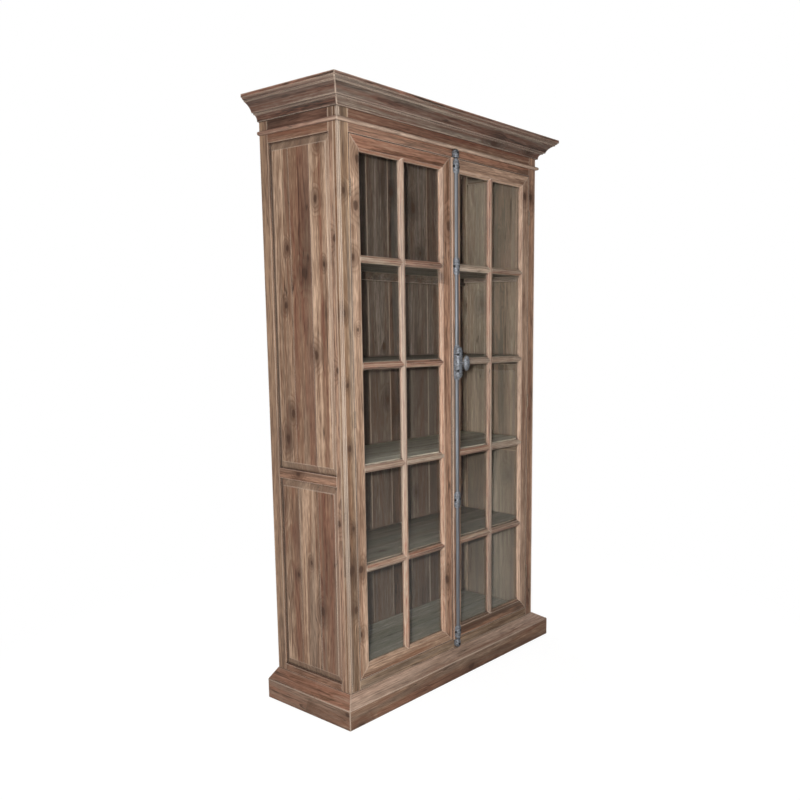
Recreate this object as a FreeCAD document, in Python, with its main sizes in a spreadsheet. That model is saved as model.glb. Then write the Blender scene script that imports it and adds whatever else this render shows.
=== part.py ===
import FreeCAD, Part
import math
import os

import Sketcher

# A tall two-door glazed bookcase in reclaimed pine, with a rack and pinion bolt on the right door.
# Frame: millimetres, X to the right seen from the front, Y to the back, Z up, origin at the middle
# of the floor under the whole piece.

os.makedirs("parts", exist_ok=True)

SIZES = {
    # Overall
    "body_width": 1160,
    "body_depth": 425,
    "overall_height": 2300,
    "cut_overrun": 2,
    # Plinth
    "plinth_reach": 54,
    "plinth_board_thickness": 26,
    "plinth_board_height": 75,
    "plinth_height": 109,
    "plinth_cap_inset": 22,
    "plinth_cap_ledge": 4,
    "plinth_nosing_depth": 6,
    "plinth_nosing_height": 6,
    "plinth_nosing_radius": 8,
    "plinth_rail_thickness": 26,
    # Face frame
    "face_thickness": 22,
    "face_stile_width": 48,
    "face_bottom_rail_height": 38,
    "face_top_rail_height": 39,
    "bead_centre": 4,
    "bead_quirk_depth": 2,
    "bead_quirk_floor": 7.46,
    "bead_quirk_edge": 9,
    # Frieze, neck moulding, cornice and top board
    "frieze_height": 102,
    "top_board_thickness": 22,
    "neck_height": 14,
    "neck_depth": 11,
    "neck_below_frieze": 7.5,
    "cornice_reach": 75,
    "cornice_height": 84,
    "cornice_fillet_height": 12,
    "cornice_quirk": 4,
    "cornice_round": 8,
    "cornice_step_height": 5,
    "cornice_step": 3,
    "cornice_cove_width": 28,
    "cornice_cove_height": 29,
    "cornice_cove_radius": 56,
    "cornice_lip_height": 3,
    "cornice_lip_step": 8,
    "cornice_band_height": 5,
    "cornice_band_step": 5,
    "cornice_small_cove_width": 11,
    "cornice_small_cove_height": 19,
    "cornice_small_cove_radius": 23,
    # Side frames and panels
    "side_thickness": 24,
    "side_front_stile_width": 26,
    "side_back_stile_width": 45,
    "side_bottom_rail_height": 26,
    "side_mid_rail_share": 0.375,
    "side_mid_rail_height": 39,
    "panel_groove_depth": 8,
    "panel_face_depth": 12,
    "panel_tongue": 8,
    "panel_tongue_fit": 0.2,
    "panel_end_room": 1.5,
    "panel_recess": 3,
    "panel_shoulder": 1.5,
    "panel_margin": 28,
    "panel_side_margin": 20,
    "panel_board_joint": 1,
    "panel_board_joint_depth": 1.2,
    # Inside of the case
    "floor_thickness": 24,
    "back_board_thickness": 12,
    "back_board_chamfer": 2,
    "shelf_thickness": 24,
    "shelf_end_room": 2,
    "shelf_setback": 40,
    "cleat_thickness": 20,
    "cleat_setback": 60,
    "cleat_back_room": 8,
    "back_cleat_height": 34,
    "back_cleat_room": 0.5,
    "stop_height": 12,
    "stop_room": 1,
    "stop_half_length": 200,
    # Doors
    "door_side_gap": 3,
    "door_end_gap": 2.5,
    "meeting_gap": 3,
    "door_thickness": 28,
    "door_member_width": 52,
    "door_bevel_width": 9,
    "door_bevel_depth": 8,
    "glass_depth": 18,
    "glass_thickness": 3,
    "glass_rebate": 8,
    "glass_room": 1,
    "bar_width": 26,
    "bar_flat": 8,
    "putty_back_width": 1.5,
    # Cover strip on the right door
    "strip_width": 46,
    "strip_thickness": 9,
    "strip_easing": 1.5,
    # Hinges
    "hinge_height": 60,
    "hinge_inset": 150,
    "hinge_leaf_thickness": 1.4,
    "hinge_leaf_depth": 24,
    "hinge_barrel_radius": 3,
    "hinge_barrel_room": 0.6,
    "hinge_pin_radius": 1.2,
    "hinge_pin_fit": 0.05,
    "hinge_knuckle_room": 0.3,
    "hinge_sweep_room": 0.3,
    # Bolt: rods
    "bolt_centre_share": 0.595,
    "rod_radius": 9,
    "rod_fit": 0.1,
    "rod_tip_room": 0.5,
    "rod_head_length": 8,
    "rod_head_distance": 26,
    "rod_tip_easing": 2,
    "rack_depth": 8,
    "rack_back": 3.5,
    "rack_overlap": 22,
    # Bolt: rack and pinion
    "gear_module": 2,
    "gear_addendum": 1.6,
    "gear_dedendum": 2,
    "gear_backlash": 0.25,
    "gear_flank_share": 0.57735,
    # Bolt: case
    "case_height": 143,
    "case_plate_width": 36,
    "case_plate_thickness": 3,
    "case_plate_straight": 104,
    "case_hump_width": 32,
    "case_hump_height": 128,
    "case_depth": 22,
    "case_hump_easing": 5,
    "case_cavity_width": 27.6,
    "case_cavity_height": 112,
    "case_cavity_depth": 10,
    "screw_hole_radius": 2.4,
    "case_screw_offset": 33,
    "case_screw_reach": 14.6,
    # Bolt: knob
    "spindle_radius": 4,
    "spindle_fit": 0.05,
    "knob_collar_radius": 8.5,
    "knob_collar_length": 3.5,
    "knob_collar_room": 0.2,
    "knob_neck_radius": 4.6,
    "knob_neck_sunk": 5,
    "knob_reach": 64,
    "knob_length": 62,
    "knob_width": 30,
    "knob_end_radius": 10,
    "knob_easing": 5,
    "knob_thickness": 20,
    # Bolt: guides and keepers
    "arch_radius": 12,
    "guide_ear_width": 36,
    "guide_ear_thickness": 3,
    "guide_ear_taper": 9,
    "guide_height": 67,
    "upper_guide_share": 0.48,
    "lower_guide_share": 0.485,
    "end_guide_inset": 6,
    "end_guide_length": 52,
    "keeper_room": 3.5,
    "upper_keeper_length": 30,
    "lower_keeper_length": 33,
    "keeper_socket": 11,
    "keeper_rosette_radius": 13,
    "keeper_rosette_depth": 15,
}

SHELVES = 4
GLASS_ROWS = 5
BACK_BOARDS = 9
PANEL_BOARDS = 3
PINION_TEETH = 8
RACK_TEETH = (-2.5, -1.5, -0.5, 0.5, 1.5)
HINGE_KNUCKLES = 3
FLANK_STEPS = 4
SAME_PLACE = 0.01

doc = FreeCAD.newDocument("Bookcase")
sheet = doc.addObject("Spreadsheet::Sheet", "Sizes")
for row, (alias, number) in enumerate(SIZES.items(), 1):
    sheet.set(f"A{row}", alias.replace("_", " "))
    sheet.set(f"B{row}", str(number))
    sheet.setAlias(f"B{row}", alias)
doc.recompute()


class Size:
    """A size as a number, with the expression that ties it to the table of sizes."""

    def __init__(self, value, text):
        self.value = value
        self.text = text

    def __add__(self, other):
        other = as_size(other)
        return Size(self.value + other.value, f"({self.text} + {other.text})")

    def __sub__(self, other):
        other = as_size(other)
        return Size(self.value - other.value, f"({self.text} - {other.text})")

    def __mul__(self, other):
        other = as_size(other)
        return Size(self.value * other.value, f"({self.text} * {other.text})")

    def __truediv__(self, other):
        other = as_size(other)
        return Size(self.value / other.value, f"({self.text} / {other.text})")

    def __neg__(self):
        return Size(-self.value, f"(0 - {self.text})")


def as_size(value):
    return value if isinstance(value, Size) else Size(float(value), repr(value))


class Table:
    """Gives each size of the table by its name."""

    def __getattr__(self, name):
        return Size(float(getattr(sheet, name)), f"Sizes.{name}")


d = Table()
NONE = as_size(0)

# Places that several pieces share
half = d.body_width / 2
front = (d.cornice_reach - d.body_depth) / 2
back = (d.cornice_reach + d.body_depth) / 2
opening_bottom = d.plinth_height + d.face_bottom_rail_height
top_underside = d.overall_height - d.top_board_thickness
frieze_bottom = top_underside - d.frieze_height
opening_top = frieze_bottom - d.face_top_rail_height
inner_half = half - d.side_thickness
back_boards_front = back - d.back_board_thickness

door_left = d.face_stile_width + d.door_side_gap - half
door_right = -d.meeting_gap / 2
door_width = door_right - door_left
door_bottom = opening_bottom + d.door_end_gap
door_top = opening_top - d.door_end_gap
door_height = door_top - door_bottom
member_flat = d.door_member_width - d.door_bevel_width
sight_left = door_left + d.door_member_width
sight_bottom = door_bottom + d.door_member_width
light_width = (door_width - d.door_member_width * 2 - d.bar_width) / 2
sight_height = door_height - d.door_member_width * 2
light_height = (sight_height - d.bar_width * (GLASS_ROWS - 1)) / GLASS_ROWS
light_pitch = light_height + d.bar_width
door_centre = (door_left + door_right) / 2

strip_left = d.meeting_gap / 2
strip_face = front - d.strip_thickness
rod_x = strip_left + d.strip_width / 2
rod_back = strip_face - d.rod_fit
rod_z = door_bottom + door_height * d.bolt_centre_share
pitch_radius = d.gear_module * PINION_TEETH / 2
tooth_pitch = d.gear_module * Size(math.pi, "pi")

nodes = []


def node(label, piece):
    """Names a finished piece, which becomes one file of the part."""
    piece.Label = label
    nodes.append(piece)
    return piece


# Sketches and features of a body


def own_plane(body, role):
    return next(f for f in body.Origin.OriginFeatures if f.Role == role)


def arc_of(start, end, bend):
    """The arc from start to end; bend is what fixes it, a size, and the way it turns."""
    kind, size, turn = bend
    middle = (start + end) / 2
    chord = end - start
    normal = FreeCAD.Vector(-chord.y, chord.x, 0).normalize()
    if kind == "radius":
        rise = math.sqrt(max(0.0, size.value**2 - (chord.Length / 2) ** 2))
        centre = middle + normal * (rise if turn == "left" else -rise)
    elif kind == "centre_across":
        centre = middle + normal * ((size.value - middle.x) / normal.x)
    else:
        centre = middle + normal * ((size.value - middle.y) / normal.y)
    first, last = (start, end) if turn == "left" else (end, start)
    angles = [math.atan2(p.y - centre.y, p.x - centre.x) for p in (first, last)]
    if angles[1] <= angles[0]:
        angles[1] += 2 * math.pi
    circle = Part.Circle(centre, FreeCAD.Vector(0, 0, 1), (start - centre).Length)
    return Part.ArcOfCircle(circle, *angles)


def outline(body, role, loops, at=NONE):
    """A sketch on one of the body's planes, moved out to the place called at.

    A loop is a list of corners (across, up) or (across, up, bend); a bend makes an arc of the
    edge that leaves the corner. Every corner is tied to the table of sizes.
    """
    sketch = body.newObject("Sketcher::SketchObject", "Outline")
    sketch.AttachmentSupport = (own_plane(body, role), "")
    sketch.MapMode = "FlatFace"
    sketch.setExpression(".AttachmentOffset.Base.z", (-at if role == "XZ_Plane" else at).text)
    for loop in loops:
        points = [FreeCAD.Vector(c[0].value, c[1].value, 0) for c in loop]
        edges = []
        for i, corner in enumerate(loop):
            start = points[i]
            end = points[(i + 1) % len(points)]
            if len(corner) == 2:
                edges.append((sketch.addGeometry(Part.LineSegment(start, end)), 1, 2))
            else:
                arc = sketch.addGeometry(arc_of(start, end, corner[2]))
                edges.append((arc, 1, 2) if corner[2][2] == "left" else (arc, 2, 1))
        for i, (edge, starts, ends) in enumerate(edges):
            following = edges[(i + 1) % len(edges)]
            sketch.addConstraint(
                Sketcher.Constraint("Coincident", edge, ends, following[0], following[1])
            )
            tie(sketch, "DistanceX", edge, starts, loop[i][0])
            tie(sketch, "DistanceY", edge, starts, loop[i][1])
            if len(loop[i]) > 2:
                kind, size, _ = loop[i][2]
                if kind == "radius":
                    tie_radius(sketch, edge, size)
                else:
                    across = kind == "centre_across"
                    tie(sketch, "DistanceX" if across else "DistanceY", edge, 3, size)
    return sketch


def tie(sketch, kind, edge, point, size):
    index = sketch.addConstraint(Sketcher.Constraint(kind, -1, 1, edge, point, size.value))
    sketch.setExpression(f"Constraints[{index}]", size.text)


def tie_radius(sketch, edge, size):
    index = sketch.addConstraint(Sketcher.Constraint("Radius", edge, size.value))
    sketch.setExpression(f"Constraints[{index}]", size.text)


def rectangle(left, bottom, right, top):
    return [(left, bottom), (right, bottom), (right, top), (left, top)]


def new_body(name):
    return doc.addObject("PartDesign::Body", name)


def pad(body, sketch, length):
    """Grows the outline: up from a level one, to the right or to the front from an upright one."""
    feature = body.newObject("PartDesign::Pad", "Pad")
    feature.Profile = sketch
    feature.setExpression("Length", length.text)
    return feature


def cut_through(body, sketch):
    """Cuts the outline right through, both ways."""
    feature = body.newObject("PartDesign::Pocket", "CutThrough")
    feature.Profile = sketch
    feature.Type = "ThroughAll"
    feature.SideType = "Symmetric"
    return feature


def padded_body(name, role, loops, at, length):
    body = new_body(name)
    pad(body, outline(body, role, loops, at), length)
    return body


def mitre(corner_across, corner_up, step_across, step_up, reach, runs):
    """The waste beyond a mitre line that starts at an outer corner and runs in over reach."""
    over = d.cut_overrun
    near_across = corner_across - over * step_across
    near_up = corner_up - over * step_up
    far_across = corner_across + (reach + over) * step_across
    far_up = corner_up + (reach + over) * step_up
    waste = (near_across, far_up) if runs == "across" else (far_across, near_up)
    return [(near_across, near_up), (far_across, far_up), waste]


# Plain pieces, joins and groups


def place(piece, x, y, z):
    piece.setExpression(".Placement.Base.x", as_size(x).text)
    piece.setExpression(".Placement.Base.y", as_size(y).text)
    piece.setExpression(".Placement.Base.z", as_size(z).text)
    return piece


def board(name, x0, x1, y0, y1, z0, z1):
    piece = doc.addObject("Part::Box", name)
    piece.setExpression("Length", (x1 - x0).text)
    piece.setExpression("Width", (y1 - y0).text)
    piece.setExpression("Height", (z1 - z0).text)
    return place(piece, x0, y0, z0)


def round_bar(name, x, y, z, radius, height, towards_front=False):
    piece = doc.addObject("Part::Cylinder", name)
    piece.setExpression("Radius", radius.text)
    piece.setExpression("Height", height.text)
    if towards_front:
        turn = FreeCAD.Rotation(FreeCAD.Vector(1, 0, 0), 90)
        piece.Placement = FreeCAD.Placement(FreeCAD.Vector(), turn)
    return place(piece, x, y, z)


def group(name, pieces):
    piece = doc.addObject("Part::Compound", name)
    piece.Links = pieces
    return piece


def joined(name, pieces):
    piece = doc.addObject("Part::MultiFuse", name)
    piece.Shapes = pieces
    piece.Refine = True
    return piece


def less(name, base, tools):
    piece = doc.addObject("Part::Cut", name)
    piece.Base = base
    piece.Tool = tools[0] if len(tools) == 1 else group(name + "_waste", tools)
    return piece


def mirrored(name, source):
    """The same piece on the other side of the middle."""
    piece = doc.addObject("Part::Mirroring", name)
    piece.Source = source
    piece.Normal = FreeCAD.Vector(1, 0, 0)
    return piece


# Mouldings that run round the front and both sides


def set_out(wall, corner):
    """A corner of a profile, given by how far it stands out from the wall and by its height."""
    placed = (wall - corner[0], corner[1])
    if len(corner) == 2:
        return placed
    kind, size, turn = corner[2]
    return placed + ((kind, wall - size if kind == "centre_across" else size, turn),)


def surround(front_label, sides_label, profile, reach, inset):
    """One moulding: mitred at the two front corners and flush with the back at its far ends."""
    across = d.body_width + reach * 2
    run = [set_out(front, corner) for corner in profile]
    body = padded_body(front_label, "YZ_Plane", [run], -half - reach, across)
    length = reach + inset
    left_waste = mitre(-half - reach, front - reach, 1, 1, length, "across")
    right_waste = mitre(half + reach, front - reach, -1, 1, length, "across")
    cut_through(body, outline(body, "XY_Plane", [left_waste, right_waste]))
    node(front_label, body)

    run = [set_out(-half, corner) for corner in profile]
    body = padded_body(sides_label + "_left", "XZ_Plane", [run], back, d.body_depth + reach)
    waste = mitre(-half - reach, front - reach, 1, 1, length, "up")
    cut_through(body, outline(body, "XY_Plane", [waste]))
    node(sides_label, group(sides_label, [body, mirrored(sides_label + "_right", body)]))


def plinth():
    """Skirting boards under a sloping cap that carries the case."""
    inner = d.plinth_reach - d.plinth_board_thickness
    boards = rectangle(inner, NONE, d.plinth_reach, d.plinth_board_height)
    surround("plinth_board_front", "plinth_boards_side", boards, d.plinth_reach, NONE)
    nosing_top = d.plinth_board_height + d.plinth_nosing_height
    cap = [
        (-d.plinth_cap_inset, d.plinth_board_height),
        (d.plinth_reach, d.plinth_board_height, ("radius", d.plinth_nosing_radius, "right")),
        (d.plinth_reach - d.plinth_nosing_depth, nosing_top),
        (d.plinth_cap_ledge, d.plinth_height),
        (-d.plinth_cap_inset, d.plinth_height),
    ]
    surround("plinth_cap_front", "plinth_caps_side", cap, d.plinth_reach, d.plinth_cap_inset)
    wide = half + inner
    narrow = half - d.plinth_cap_inset
    shape = [
        (-wide, NONE),
        (wide, NONE),
        (wide, d.plinth_board_height),
        (narrow, d.plinth_board_height),
        (narrow, d.plinth_height),
        (-narrow, d.plinth_height),
        (-narrow, d.plinth_board_height),
        (-wide, d.plinth_board_height),
    ]
    rail = padded_body("back_rail", "XZ_Plane", [shape], back, d.plinth_rail_thickness)
    node("plinth_back_rail", rail)


def neck_moulding():
    """A half-round bead over the joint between the top rails and the frieze."""
    bottom = frieze_bottom - d.neck_below_frieze
    top = bottom + d.neck_height
    flat = d.neck_depth - d.neck_height / 2
    profile = [
        (NONE, bottom),
        (flat, bottom, ("centre_across", flat, "right")),
        (flat, top),
        (NONE, top),
    ]
    surround("neck_moulding_front", "neck_mouldings_side", profile, d.neck_depth, NONE)


def cornice():
    """Crown moulding: fillet, quarter round, step, wide cove, lip, band, small cove and foot."""
    profile = [(NONE, d.overall_height)]
    profile.append((d.cornice_reach, d.overall_height))
    z = d.overall_height - d.cornice_fillet_height
    p = d.cornice_reach
    profile.append((p, z))
    p = p - d.cornice_quirk
    profile.append((p, z, ("radius", d.cornice_round, "left")))
    p = p - d.cornice_round
    z = z - d.cornice_round
    profile.append((p, z))
    z = z - d.cornice_step_height
    profile.append((p, z))
    p = p - d.cornice_step
    profile.append((p, z, ("radius", d.cornice_cove_radius, "right")))
    p = p - d.cornice_cove_width
    z = z - d.cornice_cove_height
    profile.append((p, z))
    z = z - d.cornice_lip_height
    profile.append((p, z))
    p = p - d.cornice_lip_step
    profile.append((p, z))
    z = z - d.cornice_band_height
    profile.append((p, z))
    p = p - d.cornice_band_step
    profile.append((p, z, ("radius", d.cornice_small_cove_radius, "right")))
    p = p - d.cornice_small_cove_width
    z = z - d.cornice_small_cove_height
    profile.append((p, z))
    z = d.overall_height - d.cornice_height
    profile.append((p, z))
    profile.append((NONE, z))
    surround("cornice_front", "cornices_side", profile, d.cornice_reach, NONE)


# Case


def face_frame():
    """Stiles with a bead on the outer corner, two rails and the frieze between them."""
    corner_x = -half
    bead = ("centre_across", corner_x + d.bead_centre, "left")
    section = [
        (corner_x + d.face_stile_width, front),
        (corner_x + d.face_stile_width, front + d.face_thickness),
        (corner_x, front + d.face_thickness),
        (corner_x, front + d.bead_quirk_edge),
        (corner_x + d.bead_quirk_depth, front + d.bead_quirk_floor, bead),
        (corner_x + d.bead_quirk_floor, front + d.bead_quirk_depth),
        (corner_x + d.bead_quirk_edge, front),
    ]
    height = top_underside - d.plinth_height
    left = padded_body("face_left", "XY_Plane", [section], d.plinth_height, height)
    node("face_left_stile", left)
    node("face_right_stile", mirrored("face_right", left))
    reach = half - d.face_stile_width
    behind = front + d.face_thickness
    pieces = (
        ("face_bottom_rail", d.plinth_height, opening_bottom),
        ("face_top_rail", opening_top, frieze_bottom),
        ("frieze_front", frieze_bottom, top_underside),
    )
    for label, bottom, top in pieces:
        node(label, board(label, -reach, reach, front, behind, bottom, top))


def side_stile(name, near, far, groove):
    """A side stile; groove is the edge, front or back, that takes the tongues of the panels."""
    outer = -half
    inner = outer + d.side_thickness
    slot_outer = outer + d.panel_face_depth - d.panel_tongue_fit
    slot_inner = outer + d.panel_face_depth + d.panel_tongue + d.panel_tongue_fit
    if groove == "back":
        edge, floor, other = far, far - d.panel_groove_depth, near
    else:
        edge, floor, other = near, near + d.panel_groove_depth, far
    section = [
        (outer, other),
        (inner, other),
        (inner, edge),
        (slot_inner, edge),
        (slot_inner, floor),
        (slot_outer, floor),
        (slot_outer, edge),
        (outer, edge),
    ]
    height = top_underside - d.plinth_height
    return padded_body(name, "XY_Plane", [section], d.plinth_height, height)


def side_rail(name, bottom, top, groove_below, groove_above, near, far):
    outer = -half
    inner = outer + d.side_thickness
    slot_outer = outer + d.panel_face_depth - d.panel_tongue_fit
    slot_inner = outer + d.panel_face_depth + d.panel_tongue + d.panel_tongue_fit
    section = [(outer, bottom)]
    if groove_below:
        floor = bottom + d.panel_groove_depth
        section += [(slot_outer, bottom), (slot_outer, floor)]
        section += [(slot_inner, floor), (slot_inner, bottom)]
    section += [(inner, bottom), (inner, top)]
    if groove_above:
        floor = top - d.panel_groove_depth
        section += [(slot_inner, top), (slot_inner, floor)]
        section += [(slot_outer, floor), (slot_outer, top)]
    section.append((outer, top))
    return padded_body(name, "XZ_Plane", [section], far, far - near)


def side_panel(name, near, far, bottom, top):
    """A raised panel of several boards: tongue all round, wide bevel, shoulder and flat field."""
    face = d.panel_face_depth - half
    tongue = d.panel_groove_depth - d.panel_end_room
    body = new_body(name)
    plate = rectangle(near - tongue, bottom - d.panel_groove_depth, far + tongue, top + tongue)
    pad(body, outline(body, "YZ_Plane", [plate], face), d.panel_tongue)
    rise = outline(body, "YZ_Plane", [rectangle(near, bottom, far, top)], face)
    field = rectangle(
        near + d.panel_side_margin,
        bottom + d.panel_margin,
        far - d.panel_side_margin,
        top - d.panel_margin,
    )
    shoulder = d.panel_recess + d.panel_shoulder - half
    loft = body.newObject("PartDesign::AdditiveLoft", "Bevel")
    loft.Profile = rise
    loft.Sections = [outline(body, "YZ_Plane", [field], shoulder)]
    loft.Ruled = True
    field_face = d.panel_recess - half
    pad(body, outline(body, "YZ_Plane", [field], field_face), d.panel_shoulder)
    joints = []
    for i in range(1, PANEL_BOARDS):
        middle = near + (far - near) * i / PANEL_BOARDS
        left = middle - d.panel_board_joint / 2
        right = middle + d.panel_board_joint / 2
        low = bottom + d.panel_margin - d.cut_overrun
        high = top - d.panel_margin + d.cut_overrun
        joints.append(rectangle(left, low, right, high))
    groove = body.newObject("PartDesign::Pocket", "BoardJoints")
    groove.Profile = outline(body, "YZ_Plane", joints, field_face)
    groove.setExpression("Length", d.panel_board_joint_depth.text)
    groove.Reversed = True
    return body


def side_frames():
    """Each side: two stiles, three rails, two raised panels, and the frieze over the top rail."""
    near = front + d.face_thickness
    stile_edge = near + d.side_front_stile_width
    back_edge = back - d.side_back_stile_width
    bottom_rail_top = d.plinth_height + d.side_bottom_rail_height
    mid_bottom = opening_bottom + (opening_top - opening_bottom) * d.side_mid_rail_share
    mid_top = mid_bottom + d.side_mid_rail_height
    front_stile = side_stile("side_front_stile", near, stile_edge, "back")
    back_stile = side_stile("side_back_stile", back_edge, back, "front")
    ends = (stile_edge, back_edge)
    rails = [
        side_rail("side_bottom_rail", d.plinth_height, bottom_rail_top, False, True, *ends),
        side_rail("side_mid_rail", mid_bottom, mid_top, True, True, *ends),
        side_rail("side_top_rail", opening_top, frieze_bottom, True, False, *ends),
    ]
    panels = [
        side_panel("side_upper_panel", *ends, mid_top, opening_top),
        side_panel("side_lower_panel", *ends, bottom_rail_top, mid_bottom),
    ]
    node("left_front_stile", front_stile)
    node("left_back_stile", back_stile)
    node("left_rails", group("left_rails", rails))
    node("left_panels", group("left_panels", panels))
    node("right_front_stile", mirrored("right_front_stile", front_stile))
    node("right_back_stile", mirrored("right_back_stile", back_stile))
    node("right_rails", group("right_rails", [mirrored("right_rail", p) for p in rails]))
    node("right_panels", group("right_panels", [mirrored("right_panel", p) for p in panels]))
    inner = -half + d.side_thickness
    frieze = board("side_frieze", -half, inner, stile_edge, back_edge, frieze_bottom, top_underside)
    node("friezes_side", group("friezes_side", [frieze, mirrored("right_frieze", frieze)]))


def inside():
    """Top board, floor, back boards, shelves on cleats, and the stop that the doors close on."""
    behind_face = front + d.face_thickness
    top = d.overall_height
    node("top_board", board("top_board", -half, half, front, back, top_underside, top))
    floor_top = opening_bottom
    floor_bottom = floor_top - d.floor_thickness
    ends = (-inner_half, inner_half, behind_face, back_boards_front)
    node("case_floor", board("case_floor", *ends, floor_bottom, floor_top))

    width = inner_half * 2 / BACK_BOARDS
    chamfer = d.back_board_chamfer
    boards = []
    for i in range(BACK_BOARDS):
        left = -inner_half + width * i
        right = -inner_half + width * (i + 1)
        section = [
            (left + chamfer, back_boards_front),
            (right - chamfer, back_boards_front),
            (right, back_boards_front + chamfer),
            (right, back),
            (left, back),
            (left, back_boards_front + chamfer),
        ]
        height = top_underside - d.plinth_height
        boards.append(padded_body("back_board", "XY_Plane", [section], d.plinth_height, height))
    node("back_boards", group("back_boards", boards))

    cleats = []
    shelf_end = inner_half - d.shelf_end_room
    for i in range(SHELVES):
        shelf_top = sight_bottom + light_pitch * (i + 1)
        shelf_bottom = shelf_top - d.shelf_thickness
        depth = (front + d.shelf_setback, back_boards_front)
        label = f"shelf_{i + 1}"
        node(label, board(label, -shelf_end, shelf_end, *depth, shelf_bottom, shelf_top))
        side_back = back_boards_front - d.cleat_thickness - d.cleat_back_room
        depth = (front + d.cleat_setback, side_back)
        reach = (-inner_half, d.cleat_thickness - inner_half)
        cleat = board("cleat", *reach, *depth, shelf_bottom - d.cleat_thickness, shelf_bottom)
        cleats += [cleat, mirrored("right_cleat", cleat)]
        length = inner_half - d.back_cleat_room
        depth = (back_boards_front - d.cleat_thickness, back_boards_front)
        low = shelf_bottom - d.back_cleat_height
        cleats.append(board("back_cleat", -length, length, *depth, low, shelf_bottom))
    node("shelf_cleats", group("shelf_cleats", cleats))

    reach = d.stop_half_length
    depth = (front + d.door_thickness + d.stop_room, front + d.shelf_setback)
    stop = board("door_stop", -reach, reach, *depth, floor_top, floor_top + d.stop_height)
    node("door_stop", stop)


# Doors


def member_section(across, deep, swapped):
    """The moulded and rebated section of a door stile or rail, from its outer edge inwards."""
    width = d.door_member_width
    glass = d.glass_depth
    corners = [
        (NONE, NONE),
        (member_flat, NONE),
        (width, d.door_bevel_depth),
        (width, glass),
        (width - d.glass_rebate, glass),
        (width - d.glass_rebate, d.door_thickness),
        (NONE, d.door_thickness),
    ]
    placed = [(across(u), deep(v)) for u, v in corners]
    return [(v, u) for u, v in placed] if swapped else placed


def bar_section(centre, deep, swapped):
    """The section of a glazing bar: bevelled front, square body and the fin between the panes."""
    edge = d.bar_width / 2
    flat = d.bar_flat / 2
    fin = edge - d.glass_rebate
    half_section = [
        (flat, NONE),
        (edge, d.door_bevel_depth),
        (edge, d.glass_depth),
        (fin, d.glass_depth),
        (fin, d.door_thickness),
    ]
    right = [(centre + u, deep(v)) for u, v in half_section]
    left = [(centre - u, deep(v)) for u, v in reversed(half_section)]
    placed = right + left
    return [(v, u) for u, v in placed] if swapped else placed


def deep(v):
    return front + v


def door_frame():
    """Two stiles and two rails with mitred corners, and the glazing bars coped on to them."""
    width = d.door_member_width
    corners = [
        (door_left, door_bottom, 1, 1),
        (door_left, door_top, 1, -1),
        (door_right, door_top, -1, -1),
        (door_right, door_bottom, -1, 1),
    ]

    def stile(name, section, ends):
        body = padded_body(name, "XY_Plane", [section], door_bottom, door_height)
        waste = [mitre(*corners[i], width, "up") for i in ends]
        cut_through(body, outline(body, "XZ_Plane", waste))
        return body

    def rail(name, section, ends):
        body = padded_body(name, "YZ_Plane", [section], door_left, door_width)
        waste = [mitre(*corners[i], width, "across") for i in ends]
        cut_through(body, outline(body, "XZ_Plane", waste))
        return body

    hinge = stile("hinge_stile", member_section(lambda u: door_left + u, deep, False), (0, 1))
    meeting = stile("meeting_stile", member_section(lambda u: door_right - u, deep, False), (2, 3))
    top = rail("top_rail", member_section(lambda u: door_top - u, deep, True), (1, 2))
    bottom = rail("bottom_rail", member_section(lambda u: door_bottom + u, deep, True), (0, 3))

    start = door_bottom + member_flat
    length = door_height - member_flat * 2
    section = bar_section(door_centre, deep, False)
    upright = padded_body("upright_blank", "XY_Plane", [section], start, length)
    upright = less("upright", upright, [top, bottom])

    body = new_body("cross_blank")
    centre = sight_bottom + light_height + d.bar_width / 2
    section = bar_section(centre, deep, True)
    reach = door_width - member_flat * 2
    sketch = outline(body, "YZ_Plane", [section], door_left + member_flat)
    first = pad(body, sketch, reach)
    copies = body.newObject("PartDesign::LinearPattern", "BarPattern")
    copies.Originals = [first]
    copies.Direction = (own_plane(body, "Z_Axis"), [""])
    copies.setExpression("Length", (light_pitch * (GLASS_ROWS - 2)).text)
    copies.Occurrences = GLASS_ROWS - 1
    body.Tip = copies
    crosses = less("crosses", body, [hinge, meeting, upright])
    return hinge, meeting, top, bottom, upright, crosses


def glazing():
    """Panes in the rebates, and behind each a bevelled ring of putty."""
    panes = []
    rings = []
    overlap = d.glass_rebate - d.glass_room
    glass_front = front + d.glass_depth
    glass_back = glass_front + d.glass_thickness
    door_back = front + d.door_thickness
    for column in range(2):
        for row in range(GLASS_ROWS):
            x0 = sight_left + (light_width + d.bar_width) * column
            x1 = x0 + light_width
            z0 = sight_bottom + light_pitch * row
            z1 = z0 + light_height
            sides = (x0 - overlap, x1 + overlap)
            ends = (z0 - overlap, z1 + overlap)
            panes.append(board("pane", *sides, glass_front, glass_back, *ends))
            sides = (x0 - d.glass_rebate, x1 + d.glass_rebate)
            ends = (z0 - d.glass_rebate, z1 + d.glass_rebate)
            ring = board("putty_blank", *sides, glass_back, door_back, *ends)
            hole = doc.addObject("Part::Wedge", "putty_hole")
            spread = d.glass_rebate - d.putty_back_width
            places = {
                "Xmin": x0,
                "Xmax": x1,
                "Zmin": z0,
                "Zmax": z1,
                "X2min": x0 - spread,
                "X2max": x1 + spread,
                "Z2min": z0 - spread,
                "Z2max": z1 + spread,
                "Ymin": glass_back,
                "Ymax": door_back,
            }
            for name, size in places.items():
                hole.setExpression(name, size.text)
            rings.append(less("putty_ring", ring, [hole]))
    return group("panes", panes), group("putty", rings)


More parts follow.
